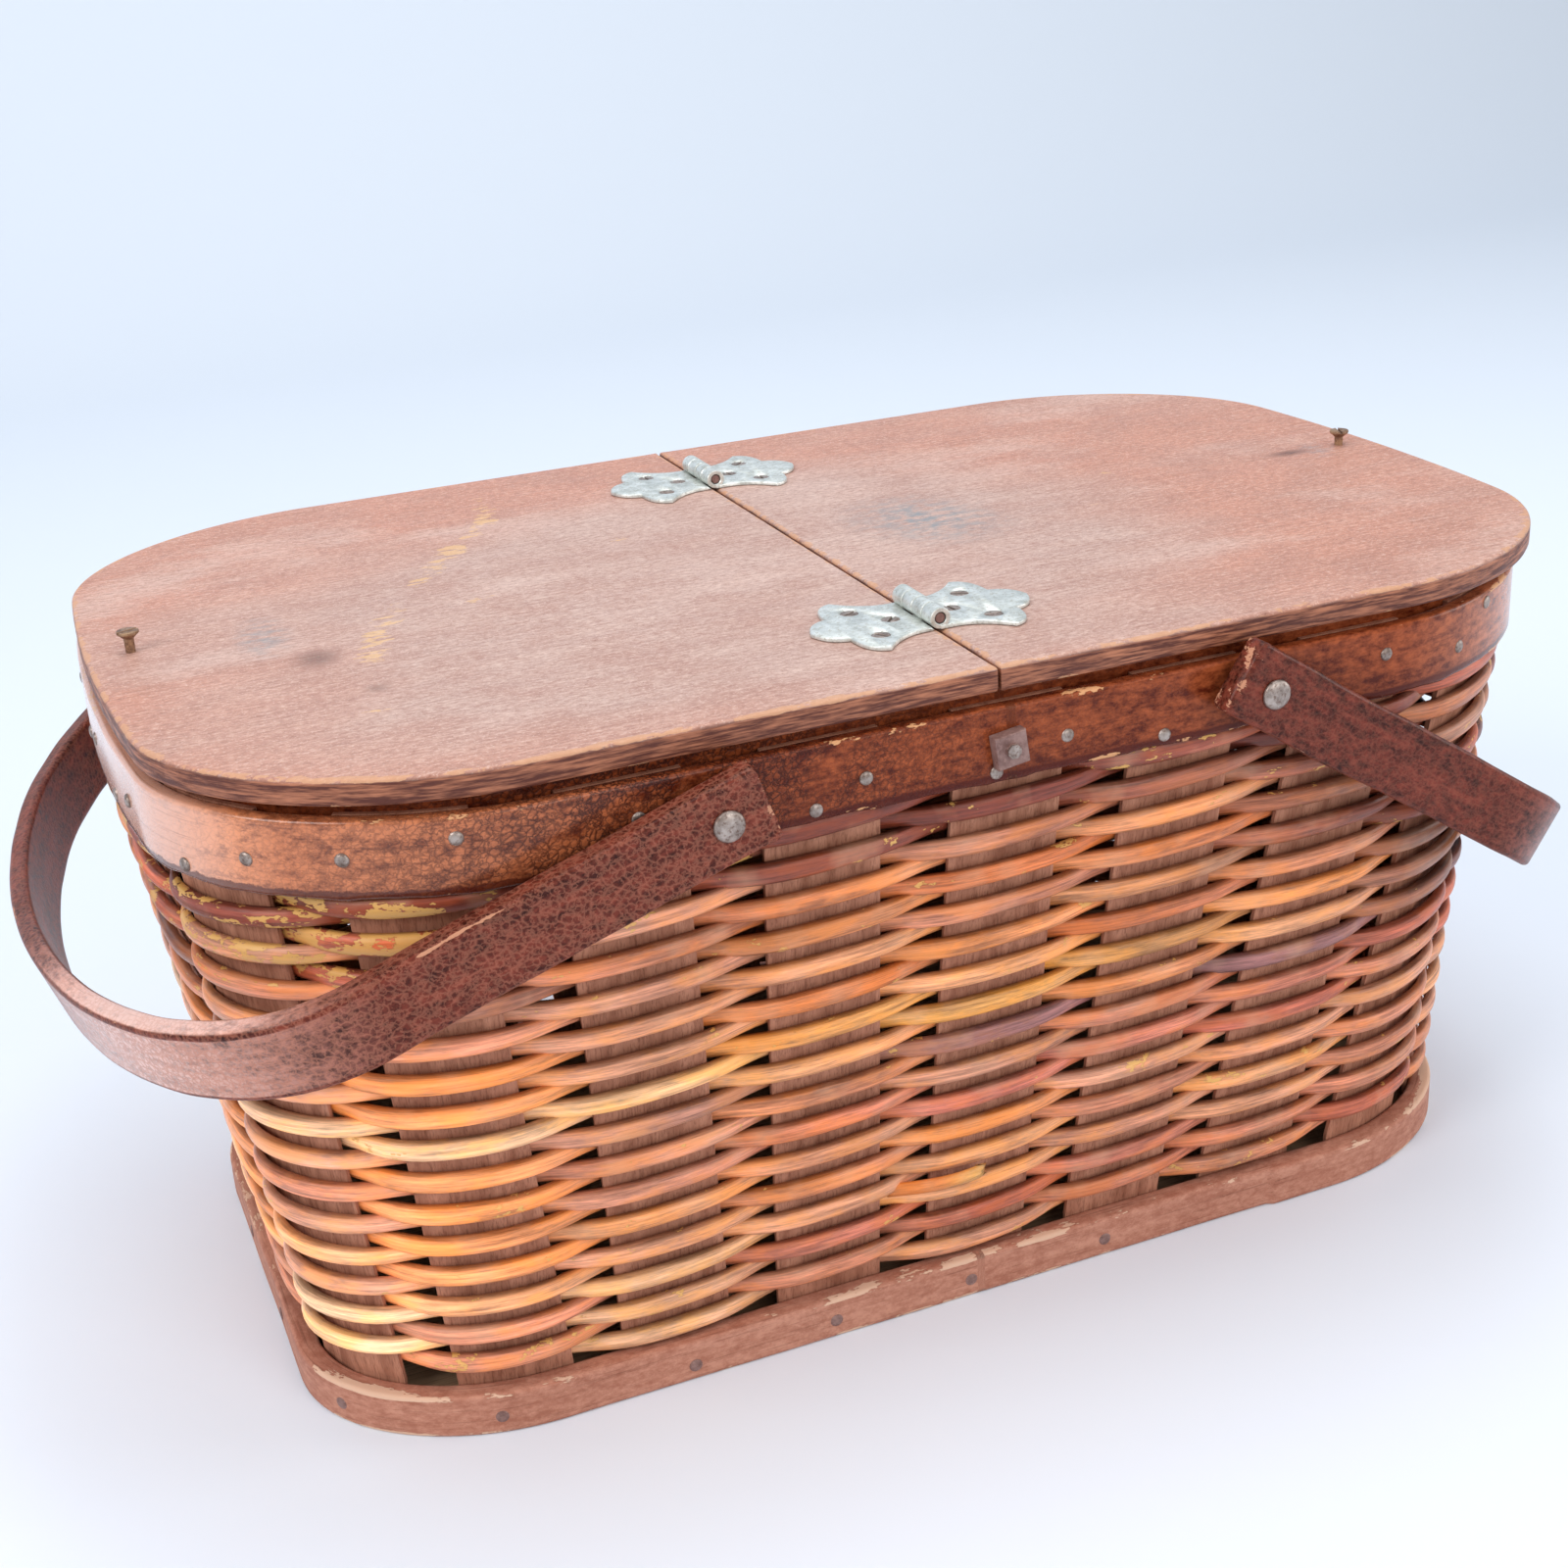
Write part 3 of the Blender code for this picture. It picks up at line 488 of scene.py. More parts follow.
# A turned shape: radius and height pairs from the top middle down to the last pair
def turned(profile, sides=24):
    profile = np.asarray(profile, float)
    turn = np.arange(sides) * 2 * np.pi / sides
    rings = np.stack([profile[:, :1] * np.cos(turn), profile[:, :1] * np.sin(turn),
                      np.repeat(profile[:, 1:], sides, axis=1)], axis=-1)
    index, faces = ringQuads(len(profile), sides)
    return rings.reshape(-1, 3), faces + [index[0].tolist(), index[-1][::-1].tolist()]


# A flat shape drawn in x and y, raised from low to high, with a small bevel on top: each
# point of the bevel moves in at right angles to the line between its neighbours
def raised(outline, low, high, bevel):
    outline = np.asarray(outline, float)
    before, after = np.roll(outline, 1, axis=0), np.roll(outline, -1, axis=0)
    along = after - before
    along /= np.hypot(*along.T)[:, None]
    inwards = np.stack([-along[:, 1], along[:, 0]], axis=1)
    area = np.sum(outline[:, 0] * after[:, 1] - outline[:, 1] * after[:, 0])
    inwards *= np.sign(area)
    easing = 0.35
    rings = [np.c_[outline + inwards * bevel * inset, np.full(len(outline), height)]
             for inset, height in ((0, low), (0, high - bevel),
                                   (easing, high - bevel * easing), (1, high))]
    index, faces = ringQuads(len(rings), len(outline))
    return np.vstack(rings), faces + [index[0][::-1].tolist(), index[-1].tolist()]


def placed(part, matrix):
    points, faces = part
    matrix = np.array(matrix)
    return points @ matrix[:3, :3].T + matrix[:3, 3], faces


# Turns +Z to a direction and moves the origin to a place
def facing(place, direction, spin=0.0):
    turn = Vector(direction).to_track_quat("Z", "Y").to_matrix().to_4x4()
    return Matrix.Translation(place) @ turn @ Matrix.Rotation(spin, 4, "Z")


# Smooth noise along a run: a few sines of unlike wavelength
def ripple(run, wavelength, seed):
    phases = np.random.default_rng(seed).uniform(0, 2 * np.pi, 4)
    waves = [np.sin(2 * np.pi * run / (wavelength * length) + phase)
             for length, phase in zip((1.0, 0.61, 0.37, 0.23), phases)]
    return sum(wave * share for wave, share in zip(waves, (0.5, 0.3, 0.25, 0.15)))


# A value that rises from 0 at the start to 1 at the start plus the length
def ramp(value, start, length):
    return np.clip((value - start) / length, 0, 1)


# One value for each ring, or for each point of a ring, spread over the whole grid
def perRing(values, size):
    return np.repeat(np.asarray(values)[:, None], size, 1)


def perPoint(values, count):
    return np.repeat(np.asarray(values)[None], count, 0)


planSteps = {"end": 80, "corner": 400, "side": 160}


# A plan outline as complex numbers, x + iy, from the front middle round by the right end:
# straight sides and quarter ellipses at the corners, with ends bowed out by a parabola.
class Plan:
    def __init__(self, halfLength, halfWidth, cornerLength, cornerWidth, bow=0.0, shift=0.0,
                 firstX=0.0):
        end, side = planSteps["end"], planSteps["side"]
        turn = np.linspace(0, np.pi / 2, planSteps["corner"])
        x = np.r_[np.full(end, halfLength), halfLength - cornerLength * (1 - np.cos(turn)),
                  np.linspace(halfLength - cornerLength, 0, side)]
        y = np.r_[np.linspace(0, halfWidth - cornerWidth, end),
                  halfWidth - cornerWidth * (1 - np.sin(turn)), np.full(side, halfWidth)]
        x = x * (1 - bow * (y / halfWidth) ** 2 / halfLength)
        quarter = x + 1j * y
        half = np.r_[np.conj(quarter)[::-1], quarter]
        self.points = np.r_[half, -half] + shift
        self.run = np.r_[0, np.cumsum(np.abs(np.diff(self.points)))]
        self.run += np.arange(len(self.run)) * 1e-9    # keeps the run rising at doubled points
        self.perimeter = self.run[-1]
        self.firstPlace = firstX - shift

    def at(self, share):
        place = (share * self.perimeter + self.firstPlace) % self.perimeter
        return np.interp(place, self.run, self.points)

    def outward(self, share):
        near = 0.0015
        along = self.at(share + near) - self.at(share - near)
        return -1j * along / np.abs(along)


# The wall: its stakes lean out from the plan of the foot to the plan of the rim

stakes = {"count": 22, "longSide": 7, "middleX": 3.5 * mm, "halfThick": 0.9 * mm}
hoop = {
    "thickness": 5.5 * mm, "innerThickness": 5 * mm, "cornerLength": 100 * mm,
    "cornerWidth": 85 * mm, "bow": 14 * mm, "arris": 1.3 * mm, "innerArris": 1.0 * mm,
    "ragged": 0.5 * mm, "raggedReach": 4 * mm, "tornReach": 6 * mm, "waver": 0.25 * mm,
    # side, strength, start and length of the places where its film shines: a glossier coat with
    # a painted sheen
    "gloss": ((-1, 0.6, 90 * mm, 110 * mm), (-1, 1.0, 220 * mm, 26 * mm),
              (1, 0.6, 150 * mm, 80 * mm)),
    "crazedX": -110 * mm, "crazedReach": 100 * mm,
}
band = {"thickness": 8 * mm, "cornerLength": 80 * mm, "cornerWidth": 62 * mm,
        "arris": 1.4 * mm, "lapX": 122 * mm, "lapLength": 70 * mm, "lapStep": 1.4 * mm}
seatGap = 0.3 * mm

hoopLow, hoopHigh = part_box("outer_hoop")
bandLow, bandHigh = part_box("bottom_band")
lidLow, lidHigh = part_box("left_lid")
stripInner = stakes["halfThick"] + seatGap
rimInset = hoop["thickness"] + seatGap + stakes["halfThick"]
footInset = band["thickness"] + seatGap + stakes["halfThick"]
footPlan = Plan(bandHigh.x - footInset, bandHigh.y - footInset,
                band["cornerLength"] - footInset, band["cornerWidth"] - footInset,
                firstX=stakes["middleX"])
rimPlan = Plan((hoopHigh.x - hoopLow.x) / 2 - rimInset, hoopHigh.y - rimInset,
               hoop["cornerLength"] - rimInset, hoop["cornerWidth"] - rimInset, hoop["bow"],
               (hoopHigh.x + hoopLow.x) / 2, stakes["middleX"])


# A point of the wall: the two plans mixed by height, moved outwards by the offset from the
# middle of the stakes
def wallPoint(share, height, offset):
    share, height, offset = np.broadcast_arrays(share, height, offset)
    blend = ramp(height, bandHigh.z, hoopLow.z - bandHigh.z)
    place = footPlan.at(share) * (1 - blend) + rimPlan.at(share) * blend
    outward = footPlan.outward(share) * (1 - blend) + rimPlan.outward(share) * blend
    place = place + outward / np.abs(outward) * offset
    return np.stack([place.real, place.imag, height], axis=-1)


def wallPerimeter(height):
    blend = ramp(height, bandHigh.z, hoopLow.z - bandHigh.z)
    return footPlan.perimeter * (1 - blend) + rimPlan.perimeter * blend


# A stake's share of the perimeter, counted from the left of the front and past each turn
def stakeShare(number):
    return (number - stakes["longSide"] // 2) / stakes["count"]


# Reeds: each row has its own dyes at the left, the middle and the right of the front

reed = {
    "pitch": 6.48 * mm, "height": 6.7 * mm, "depth": 3.6 * mm, "solidHeight": 5.9 * mm,
    "footGap": 1.2 * mm, "rimGap": 2 * mm, "packedGap": 2.6 * mm, "stationsPerStake": 16,
    "swing": 4.6 * mm, "stiffness": 1.25, "wander": 0.3 * mm, "drift": 0.35 * mm,
    "lean": 0.6 * mm, "startCut": 0.28, "endCut": 0.72, "dyeReach": 170 * mm,
    # painted light that brightens the reeds at the left corner: its x, its reach and how much
    "cornerX": -200 * mm, "cornerReach": 50 * mm, "paintedCornerLight": 0.42,
    # chips everywhere, and more at the top, at the top left and at the foot
    "chips": 0.2, "topChips": 0.12, "leftChips": 0.28, "footChips": 0.1, "strayChips": 0.18,
}
dyes = {
    "sand": tone(226, 176, 134), "apricot": tone(222, 152, 104), "orange": tone(218, 136, 82),
    "amber": tone(222, 156, 84), "tan": tone(206, 142, 112), "clay": tone(196, 124, 94),
    "rose": tone(194, 108, 88), "brick": tone(176, 92, 68), "mauve": tone(148, 98, 94),
    "cocoa": tone(152, 96, 76), "umber": tone(120, 56, 42), "rust": tone(198, 108, 58),
}
rowDyes = (
    ("sand", "tan", "clay"), ("clay", "clay", "brick"), ("sand", "brick", "clay"),
    ("clay", "rose", "clay"), ("sand", "apricot", "tan"), ("apricot", "tan", "clay"),
    ("tan", "apricot", "apricot"), ("orange", "clay", "clay"), ("apricot", "orange", "tan"),
    ("orange", "tan", "tan"), ("tan", "rose", "brick"), ("orange", "rose", "clay"),
    ("clay", "tan", "brick"), ("orange", "clay", "brick"), ("tan", "mauve", "mauve"),
    ("sand", "orange", "cocoa"), ("sand", "amber", "tan"), ("orange", "amber", "cocoa"),
    ("tan", "apricot", "orange"), ("orange", "rust", "cocoa"), ("tan", "orange", "clay"),
    ("clay", "apricot", "umber"), ("tan", "clay", "umber"), ("cocoa", "orange", "brick"),
    ("clay", "rust", "cocoa"), ("brick", "orange", "tan"), ("tan", "clay", "umber"),
    ("brick", "umber", "clay"), ("umber", "umber", "umber"), ("umber", "umber", "brick"),
)


# The path climbs two rows a turn from the band to the rim, and is packed flat under it
def reedPath(firstStake, startShare, extraStakes):
    lead = 2 * reed["pitch"]
    low = bandHigh.z + reed["footGap"] + reed["solidHeight"] / 2
    high = hoopLow.z - reed["rimGap"] - reed["solidHeight"] / 2
    passes = int((high - low) / lead * stakes["count"])
    passes += extraStakes - (1 - passes % 2)
    place = np.linspace(firstStake - reed["startCut"], firstStake + passes - reed["endCut"],
                        passes * reed["stationsPerStake"])
    share = stakeShare(place)
    height = low + lead * (share - startShare)
    return place, share, np.minimum(height, hoopLow.z - reed["packedGap"])


# The colour of each ring: its row's three dyes mixed by x, and brightened at the left corner by
# painted light
def reedColors(row, x, brightness):
    zones = np.array([[dyes[dye] for dye in three] for three in rowDyes])[row]
    across = np.clip(x / reed["dyeReach"], -1, 1)[:, None]
    colors = (zones[:, 0] * np.clip(-across, 0, 1) + zones[:, 1] * (1 - np.abs(across))
              + zones[:, 2] * np.clip(across, 0, 1))
    # painted light: brightness laid on the ring colours around the left corner
    corner = np.exp(-((x - reed["cornerX"]) / reed["cornerReach"]) ** 2)
    light = brightness + reed["paintedCornerLight"] * corner
    return np.c_[colors[:, :3] * light[:, None], colors[:, 3:]]


# A reed swings out over one stake and in behind the next, by a cosine flattened with tanh,
# and is tallest left of each stake's middle. Its section is a half round on a flat back.
def reedPiece(name, node, firstStake, startShare, extraStakes, seed):
    place, share, height = reedPath(firstStake, startShare, extraStakes)
    wave = -np.cos(np.pi * (place - firstStake))
    offset = reed["swing"] * np.tanh(reed["stiffness"] * wave) / np.tanh(reed["stiffness"])
    offset += reed["wander"] * ripple(place, 5.3, seed)
    past = np.sin(np.pi * (place - firstStake - 1))
    height = height + reed["drift"] * ripple(place, 7.7, seed + 1) + reed["lean"] * past
    swell = 1.0 + 0.1 * np.clip(wave, 0, 1) - 0.05 * past
    swell = (swell + 0.05 * ripple(place, 3.1, seed + 2))[:, None]
    roll = 0.1 * ripple(place, 4.3, seed + 3)[:, None]
    turn = np.linspace(-np.pi / 2, np.pi / 2, 11)
    back = -0.6 * reed["depth"]
    outwards = np.r_[reed["depth"] * (np.cos(turn) ** 0.5 - 0.5), back, back][None]
    upwards = (np.r_[np.sin(turn), 0.5, -0.5] * reed["height"] / 2)[None]
    across = (outwards * np.cos(roll) - upwards * np.sin(roll)) * np.sqrt(swell)
    up = (outwards * np.sin(roll) + upwards * np.cos(roll)) * swell
    rings = wallPoint(share[:, None], height[:, None] + up, offset[:, None] + across)
    rings[..., 2] = height[:, None] + up
    count, size = rings.shape[:2]
    x = rings[:, 0, 0]
    row = 2 * np.floor(share + 0.5).astype(int) - (0 if firstStake == 0 else 1)
    row = np.clip(row, 0, len(rowDyes) - 1)
    # the ring colours hold the dyes and also the painted light at the left corner
    colors = reedColors(row, x, 1 + 0.14 * ripple(place, 2.9, seed + 4))
    arc = np.r_[turn / np.pi * 9 * mm, 7 * mm, -7 * mm]
    grain = np.stack([perRing(share * 1.35, size), perPoint(arc, count),
                      perRing(row * 0.037, size)], axis=-1)
    top = ramp(height, 150 * mm, 50 * mm)
    left = ramp(-x, 120 * mm, 70 * mm)
    lowest = ramp(-height, -36 * mm, 16 * mm)
    chip = (reed["chips"] + reed["topChips"] * top + reed["leftChips"] * left * top
            + reed["footChips"] * lowest)
    chip = chip + reed["strayChips"] * ripple(place, 6.1, seed + 5)
    # side is 1 at the edges of the half round, where the reed's material paints shade, and 0 on
    # the crest, where it paints a highlight
    side = np.abs(np.r_[np.sin(turn), 1.0, -1.0]) ** 5
    piece = loft(name, rings, stainedReed, grain=grain, dye=perRing(colors, size),
                 chip=perRing(chip, size), side=perPoint(side, count))
    settle(piece, "stained_reed", "basket", node)


# Both go on past the CAD's last pass, packed under the rim
reedPiece("woven_reed_one", "first_weaver", 0, stakeShare(0), 8, 21)
reedPiece("woven_reed_two", "second_weaver", stakes["count"] // 2, stakeShare(0) + 0.5,
          stakes["count"] - 2, 47)

brokenReed = {
    "level": 54 * mm, "start": -36 * mm, "end": -3 * mm, "low": 52.5 * mm,
    "climb": 3.5 * mm, "stand": 1 * mm, "lift": 8 * mm, "halfThick": 1.7 * mm,
    "halfHeight": 2.9 * mm, "stations": 24, "sides": 12,
    "wood": tone(196, 116, 62), "tornWood": tone(214, 160, 96),
}


# A broken reed end that sticks out left of the middle stake: an oval section on a path
# that lifts off the wall by part of a sine, with its last ring torn
def brokenEnd():
    count, size = brokenReed["stations"], brokenReed["sides"]
    perimeter = wallPerimeter(brokenReed["level"])
    share = np.linspace(brokenReed["start"], brokenReed["end"], count) / perimeter
    rise = np.linspace(0, 1, count)
    height = (brokenReed["low"] + brokenReed["climb"] * rise)[:, None]
    offset = (brokenReed["stand"] + brokenReed["lift"] * np.sin(rise * np.pi * 0.6))[:, None]
    turn = np.linspace(0, 2 * np.pi, size, endpoint=False)
    up = height + brokenReed["halfHeight"] * np.sin(turn)
    torn = np.where(rise > 0.97, 1.0, 0.0)[:, None] * rng.uniform(-3.5, 2.5, size) * mm
    rings = wallPoint(share[:, None] + torn / perimeter, up,
                      offset + brokenReed["halfThick"] * np.cos(turn))
    rings[..., 2] = up
    plain = np.zeros((count, size))
    grain = np.stack([perRing(share * 1.3, size), perPoint(turn * mm, count), plain], axis=-1)
    wood, tornWood = np.array(brokenReed["wood"]), np.array(brokenReed["tornWood"])
    colors = wood + (tornWood - wood) * ramp(rise, 0.5, 0.4)[:, None]
    piece = loft("broken_reed_end", rings, stainedReed, grain=grain,
                 dye=perRing(colors, size), chip=plain, side=plain)
    settle(piece, "stained_reed", "basket")


brokenEnd()
print("reeds woven")


# Rim hoops and bottom band

# Section of a strip: a rectangle with quarter circle corners, worn at the outer ones
def stripSection(inner, outer, low, high, radius, steps=4):
    corners = ((inner, low, math.pi), (outer, low, 1.5 * math.pi), (outer, high, 0),
               (inner, high, 0.5 * math.pi))
    points, wear = [], []
    for out, up, start in corners:
        middle = np.array([out + radius * (1 if out == inner else -1),
                           up + radius * (1 if up == low else -1)])
        for turn in start + np.linspace(0, math.pi / 2, steps):
            points.append(middle + radius * np.array([math.cos(turn), math.sin(turn)]))
            wear.append(1.0 if out == outer else 0.3)
        if out == outer and up == low:
            for share in (0.05, 0.12, 0.3, 0.5, 0.7, 0.88, 0.95):
                points.append((outer, low + radius + share * (high - low - 2 * radius)))
                wear.append(0.0)
    return np.array(points), np.array(wear)


# A strip's section carried round the wall's plan. Ragged roughens the lower edge, and lap
# is the share of the perimeter where the strip's end lies over its start.
def sweptStrip(name, node, material, slotName, inner, outer, low, high, radius,
               ragged=0.0, glossAndSheenShare=0.0, worn=1.0, lap=None, stations=420):
    share = np.arange(stations) / stations
    section, edge = stripSection(inner, outer, low, high, radius)
    out, up = section.T[:, None]
    run = share * wallPerimeter(low)
    lowerEdge = ramp(-up, -(low + hoop["raggedReach"]), hoop["raggedReach"])
    up = up + lowerEdge * ragged * ripple(run * 30, 1.0, 5)[:, None]
    out = out + hoop["waver"] * ripple(run, 0.21, 8)[:, None] * (out > inner)
    if lap is not None:
        past = ((share - lap) % 1) * wallPerimeter(low)
        thin = np.clip(1 - past / band["lapLength"], 0, 1) * (past < band["lapLength"])
        out = out + (band["lapStep"] * thin)[:, None] * (out > inner + 1 * mm)
    rings = wallPoint(share[:, None], low, out)
    rings[..., 2] = up
    x = rings[..., 0]
    wear = worn * edge[None] * (0.75 + 0.5 * ripple(run, 0.17, 3)[:, None])
    grain = np.stack([perRing(run, rings.shape[1]), up, out], -1)
    torn = ramp(-up, -(low + hoop["tornReach"]), hoop["tornReach"]) * (ragged > 0)
    # shiny stretches: a glossier coat and a painted sheen in the colour
    gloss = sum(strength * ramp(side * x, start, length)
                for side, strength, start, length in hoop["gloss"])
    crazed = np.exp(-((x - hoop["crazedX"]) / hoop["crazedReach"]) ** 2)
    piece = loft(name, rings, material, closed=True, sharp=60, grain=grain, edge=wear,
                 low=torn, gloss=gloss * glossAndSheenShare, old=crazed)
    settle(piece, slotName, "basket", node)


sweptStrip("rim_hoop", "outer_hoop", hoopVarnish, "hoop_wood", stripInner,
           stripInner + hoop["thickness"], hoopLow.z, hoopHigh.z, hoop["arris"],
           ragged=hoop["ragged"], glossAndSheenShare=1.0)
sweptStrip("lid_rest_hoop", "inner_hoop", hoopVarnish, "inner_wood",
           -stripInner - hoop["innerThickness"], -stripInner, hoopLow.z,
           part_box("inner_hoop")[1].z, hoop["innerArris"], worn=0.1)
sweptStrip("foot_band", "bottom_band", bandWood, "band_wood", stripInner,
           stripInner + band["thickness"], bandLow.z, bandHigh.z, band["arris"],
           lap=band["lapX"] / wallPerimeter(0))
print("hoops swept")


# Lids: marks are in mm from the middle of the basket

lid = {
    "cornerLength": 95 * mm, "cornerWidth": 78 * mm, "bow": 14 * mm, "seamHalf": 0.6 * mm,
    "arris": 1.4 * mm, "middle": 120 * mm, "faceDepth": 1 * mm,
    # the faded middle: its share, its reach along each lid and across both, and its y
    "fade": 1.05, "fadeReach": {"left": 280 * mm, "right": 150 * mm},
    "fadeAcross": 150 * mm, "fadeY": -30 * mm,
    # rings as shares of the way out from the middle
    "lowerRings": (0.02, 0.5, 0.9), "upperRings": (0.985, 0.965, 0.94),
    "innerRings": (0.9, 0.02, 34),
    # share of the arris's turn, wear, and how far it counts as the layered side
    "lowerArris": ((0, 0.5, 1.0), (0.5, 0.5, 1.0), (1, 0.2, 1.0)),
    "upperArris": ((0, 0.2, 1.0), (0.3, 0.8, 0.5), (0.65, 0.8, 0.0), (1, 0.8, 0.0)),
    # place, half sizes, tilt and strength
    "blooms": (((50, 2), (26, 34), 0.3, 1.0), ((-199, -2), (9, 22), -0.1, 0.8),
               ((226, 4), (9, 12), 0.0, 0.5)),
    "stains": (((214, 6), (10, 4), 0.0, 1.0), ((-187, -34), (8, 9), 0.0, 0.8),
               ((-176, -72), (5, 4), 0.0, 0.6)),
    # start, end, half width and strength
    "scuffs": (((-88, 124), (-94, 94), 7, 0.85), ((-96, 92), (-116, 62), 7, 0.9),
               ((-118, 60), (-138, 28), 8, 0.85), ((-154, 2), (-174, -46), 10, 0.85),
               ((-186, -88), (-172, -98), 4, 0.8), ((-128, -2), (-118, 0), 4, 0.8),
               ((-60, 40), (-52, 42), 4, 0.8), ((-70, 70), (-64, 73), 4, 0.8),
               ((110, -16), (119, -14), 4, 0.75), ((134, 20), (142, 22), 4, 0.75)),
}
seamX = (lidHigh.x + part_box("right_lid")[0].x) / 2
lidPlan = Plan(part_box("right_lid")[1].x - seamX, lidHigh.y, lid["cornerLength"],
               lid["cornerWidth"], lid["bow"])


# 1 on a stroke's middle line, falling to 0 at its half width
def strokeShare(points, start, end, width):
    start, end = np.array(start) * mm, np.array(end) * mm
    along = end - start
    share = np.clip((points[..., :2] - start) @ along / (along @ along), 0, 1)
    away = points[..., :2] - start - share[..., None] * along
    return np.clip(1 - np.hypot(away[..., 0], away[..., 1]) / (width * mm), 0, 1)


# 1 in the middle of an oval spot, falling to 0 a quarter past its half sizes
def spotShare(points, place, size, tilt):
    away = (points[..., :2] - np.array(place) * mm) / mm
    tilted = away @ np.array([[math.cos(tilt), -math.sin(tilt)],
                              [math.sin(tilt), math.cos(tilt)]])
    return np.clip(1.25 - np.hypot(tilted[..., 0] / size[0], tilted[..., 1] / size[1]), 0, 1)


# Half a plan's outline, closed along the seam
def lidOutline(side):
    quarter = (lidPlan.points.real.max() - lid["cornerLength"]) / lidPlan.perimeter
    edge = lidPlan.at(np.linspace(quarter, 0.5 - quarter, 150))
    frontRun = np.linspace(lid["seamHalf"], edge[0].real, 40)[:-1] - 1j * lidHigh.y
    seamRun = lid["seamHalf"] + 1j * np.linspace(lidHigh.y, -lidHigh.y, 90)[1:-1]
    ring = np.r_[frontRun, edge, np.conj(frontRun)[::-1], seamRun]
    return ring.real * side + seamX + 1j * ring.imag


# Rings drawn in from the outline to the middle, over and under, with quarter circle arrises
def lidPiece(word, side):
    ring = lidOutline(side)
    along = np.roll(ring, -1) - np.roll(ring, 1)
    inwards = 1j * side * along / np.abs(along)
    centre = seamX + side * lid["middle"]
    low, high, arris = lidLow.z, lidHigh.z, lid["arris"]
    rows = [(centre + (ring - centre) * share, low, 0, 0) for share in lid["lowerRings"]]
    for turn, wear, layered in lid["lowerArris"]:
        angle = turn * math.pi / 2
        rows.append((ring + inwards * (arris * (1 - math.sin(angle))),
                     low + arris * (1 - math.cos(angle)), wear, layered))
    for turn, wear, layered in lid["upperArris"]:
        angle = turn * math.pi / 2
        rows.append((ring + inwards * (arris * (1 - math.cos(angle))),
                     high - arris * (1 - math.sin(angle)), wear, layered))
    rows += [(centre + (ring - centre) * share, high, 0.6 if share > 0.98 else 0.0, 0.0)
             for share in (*lid["upperRings"], *np.linspace(*lid["innerRings"]))]
    plan, heights, wears, layers = map(np.array, zip(*rows))
    points = np.stack([plan.real, plan.imag, perRing(heights, len(ring))], axis=-1)
    upperFace = points[..., 2] > high - lid["faceDepth"]
    scuff = sum(strokeShare(points, start, end, width) ** 0.5 * share
                for start, end, width, share in lid["scuffs"])
    bloom, stain = (sum(share * spotShare(points, *spot) for *spot, share in lid[kind])
                    for kind in ("blooms", "stains"))
    away = np.hypot((points[..., 0] - seamX) / lid["fadeReach"][word],
                    (points[..., 1] - lid["fadeY"]) / lid["fadeAcross"])
    piece = loft(word + "_lid_board", points, lidWood, sharp=50,
                 edge=perRing(wears, len(ring)), side=perRing(layers, len(ring)),
                 scuff=np.clip(scuff, 0, 1) * upperFace, bloom=np.clip(bloom, 0, 1) * upperFace,
                 stain=np.clip(stain, 0, 1) * upperFace,
                 fade=np.clip(lid["fade"] - away, 0, 1))
    settle(piece, "lid_wood", word + "_lid", word + "_lid")


lidPiece("left", -1)
lidPiece("right", 1)
print("lids made")


# Handles

handle = {
    "width": 25.5 * mm, "halfSpan": 168.5 * mm, "reach": 203.1 * mm, "bend": 86 * mm,
    "tail": 14 * mm, "thickness": 7 * mm, "thickerArm": 2 * mm, "corner": 1.9 * mm,
    "endRound": 1.6 * mm, "endInset": 0.9 * mm, "roughEnd": 9 * mm, "wornEnd": 8 * mm,
    "rough": 0.28 * mm, "waver": 0.35 * mm,
    "hang": {"left": 18.9, "right": 33.3},      # degrees below level
    # the painted sheen and glossier coat of the crown's front, along y and x, and on its outer
    # and upper face
    "sheenY": -115 * mm, "sheenReach": 55 * mm, "sheenFrom": 110 * mm,
    "sheenLength": 40 * mm, "outerSheen": 1.0, "upperSheen": 1.7,
    "sheen": {"left": 1.0, "right": 0.3}, "crazed": {"left": 0.45, "right": 0.15},
    "crazedShine": {"left": 0.8, "right": 0.0},
}


# Section of a handle from its upper outer corner: share of the thickness, share of the
# half width, the offsets of the rounded corner, and wear, which peaks amid each corner
def handleSection(corner):
    rows = []
    for deep, high, start in ((0, 1, 0.5), (1, 1, 0.0), (1, -1, 1.5), (0, -1, 1.0)):
        for turn in np.linspace(0.5, 0, 5) + start:
            out, up = math.cos(turn * math.pi), math.sin(turn * math.pi)
            rows.append((deep, high, corner * (out + 1 - 2 * deep), corner * up,
                         (1.2 if deep < high else 0.9) * min(abs(out), abs(up)) / 0.7))
        if (deep, high) == (0, 1):
            rows += [(share, 1, corner * (1 - 2 * share), corner, 0)
                     for share in (0.1, 0.5, 0.9)]
        if deep != (high < 0):
            rows += [(deep, high * share, 0, 0, 0) for share in (0.96, 0.6, 0, -0.6, -0.96)]
    return np.array(rows)


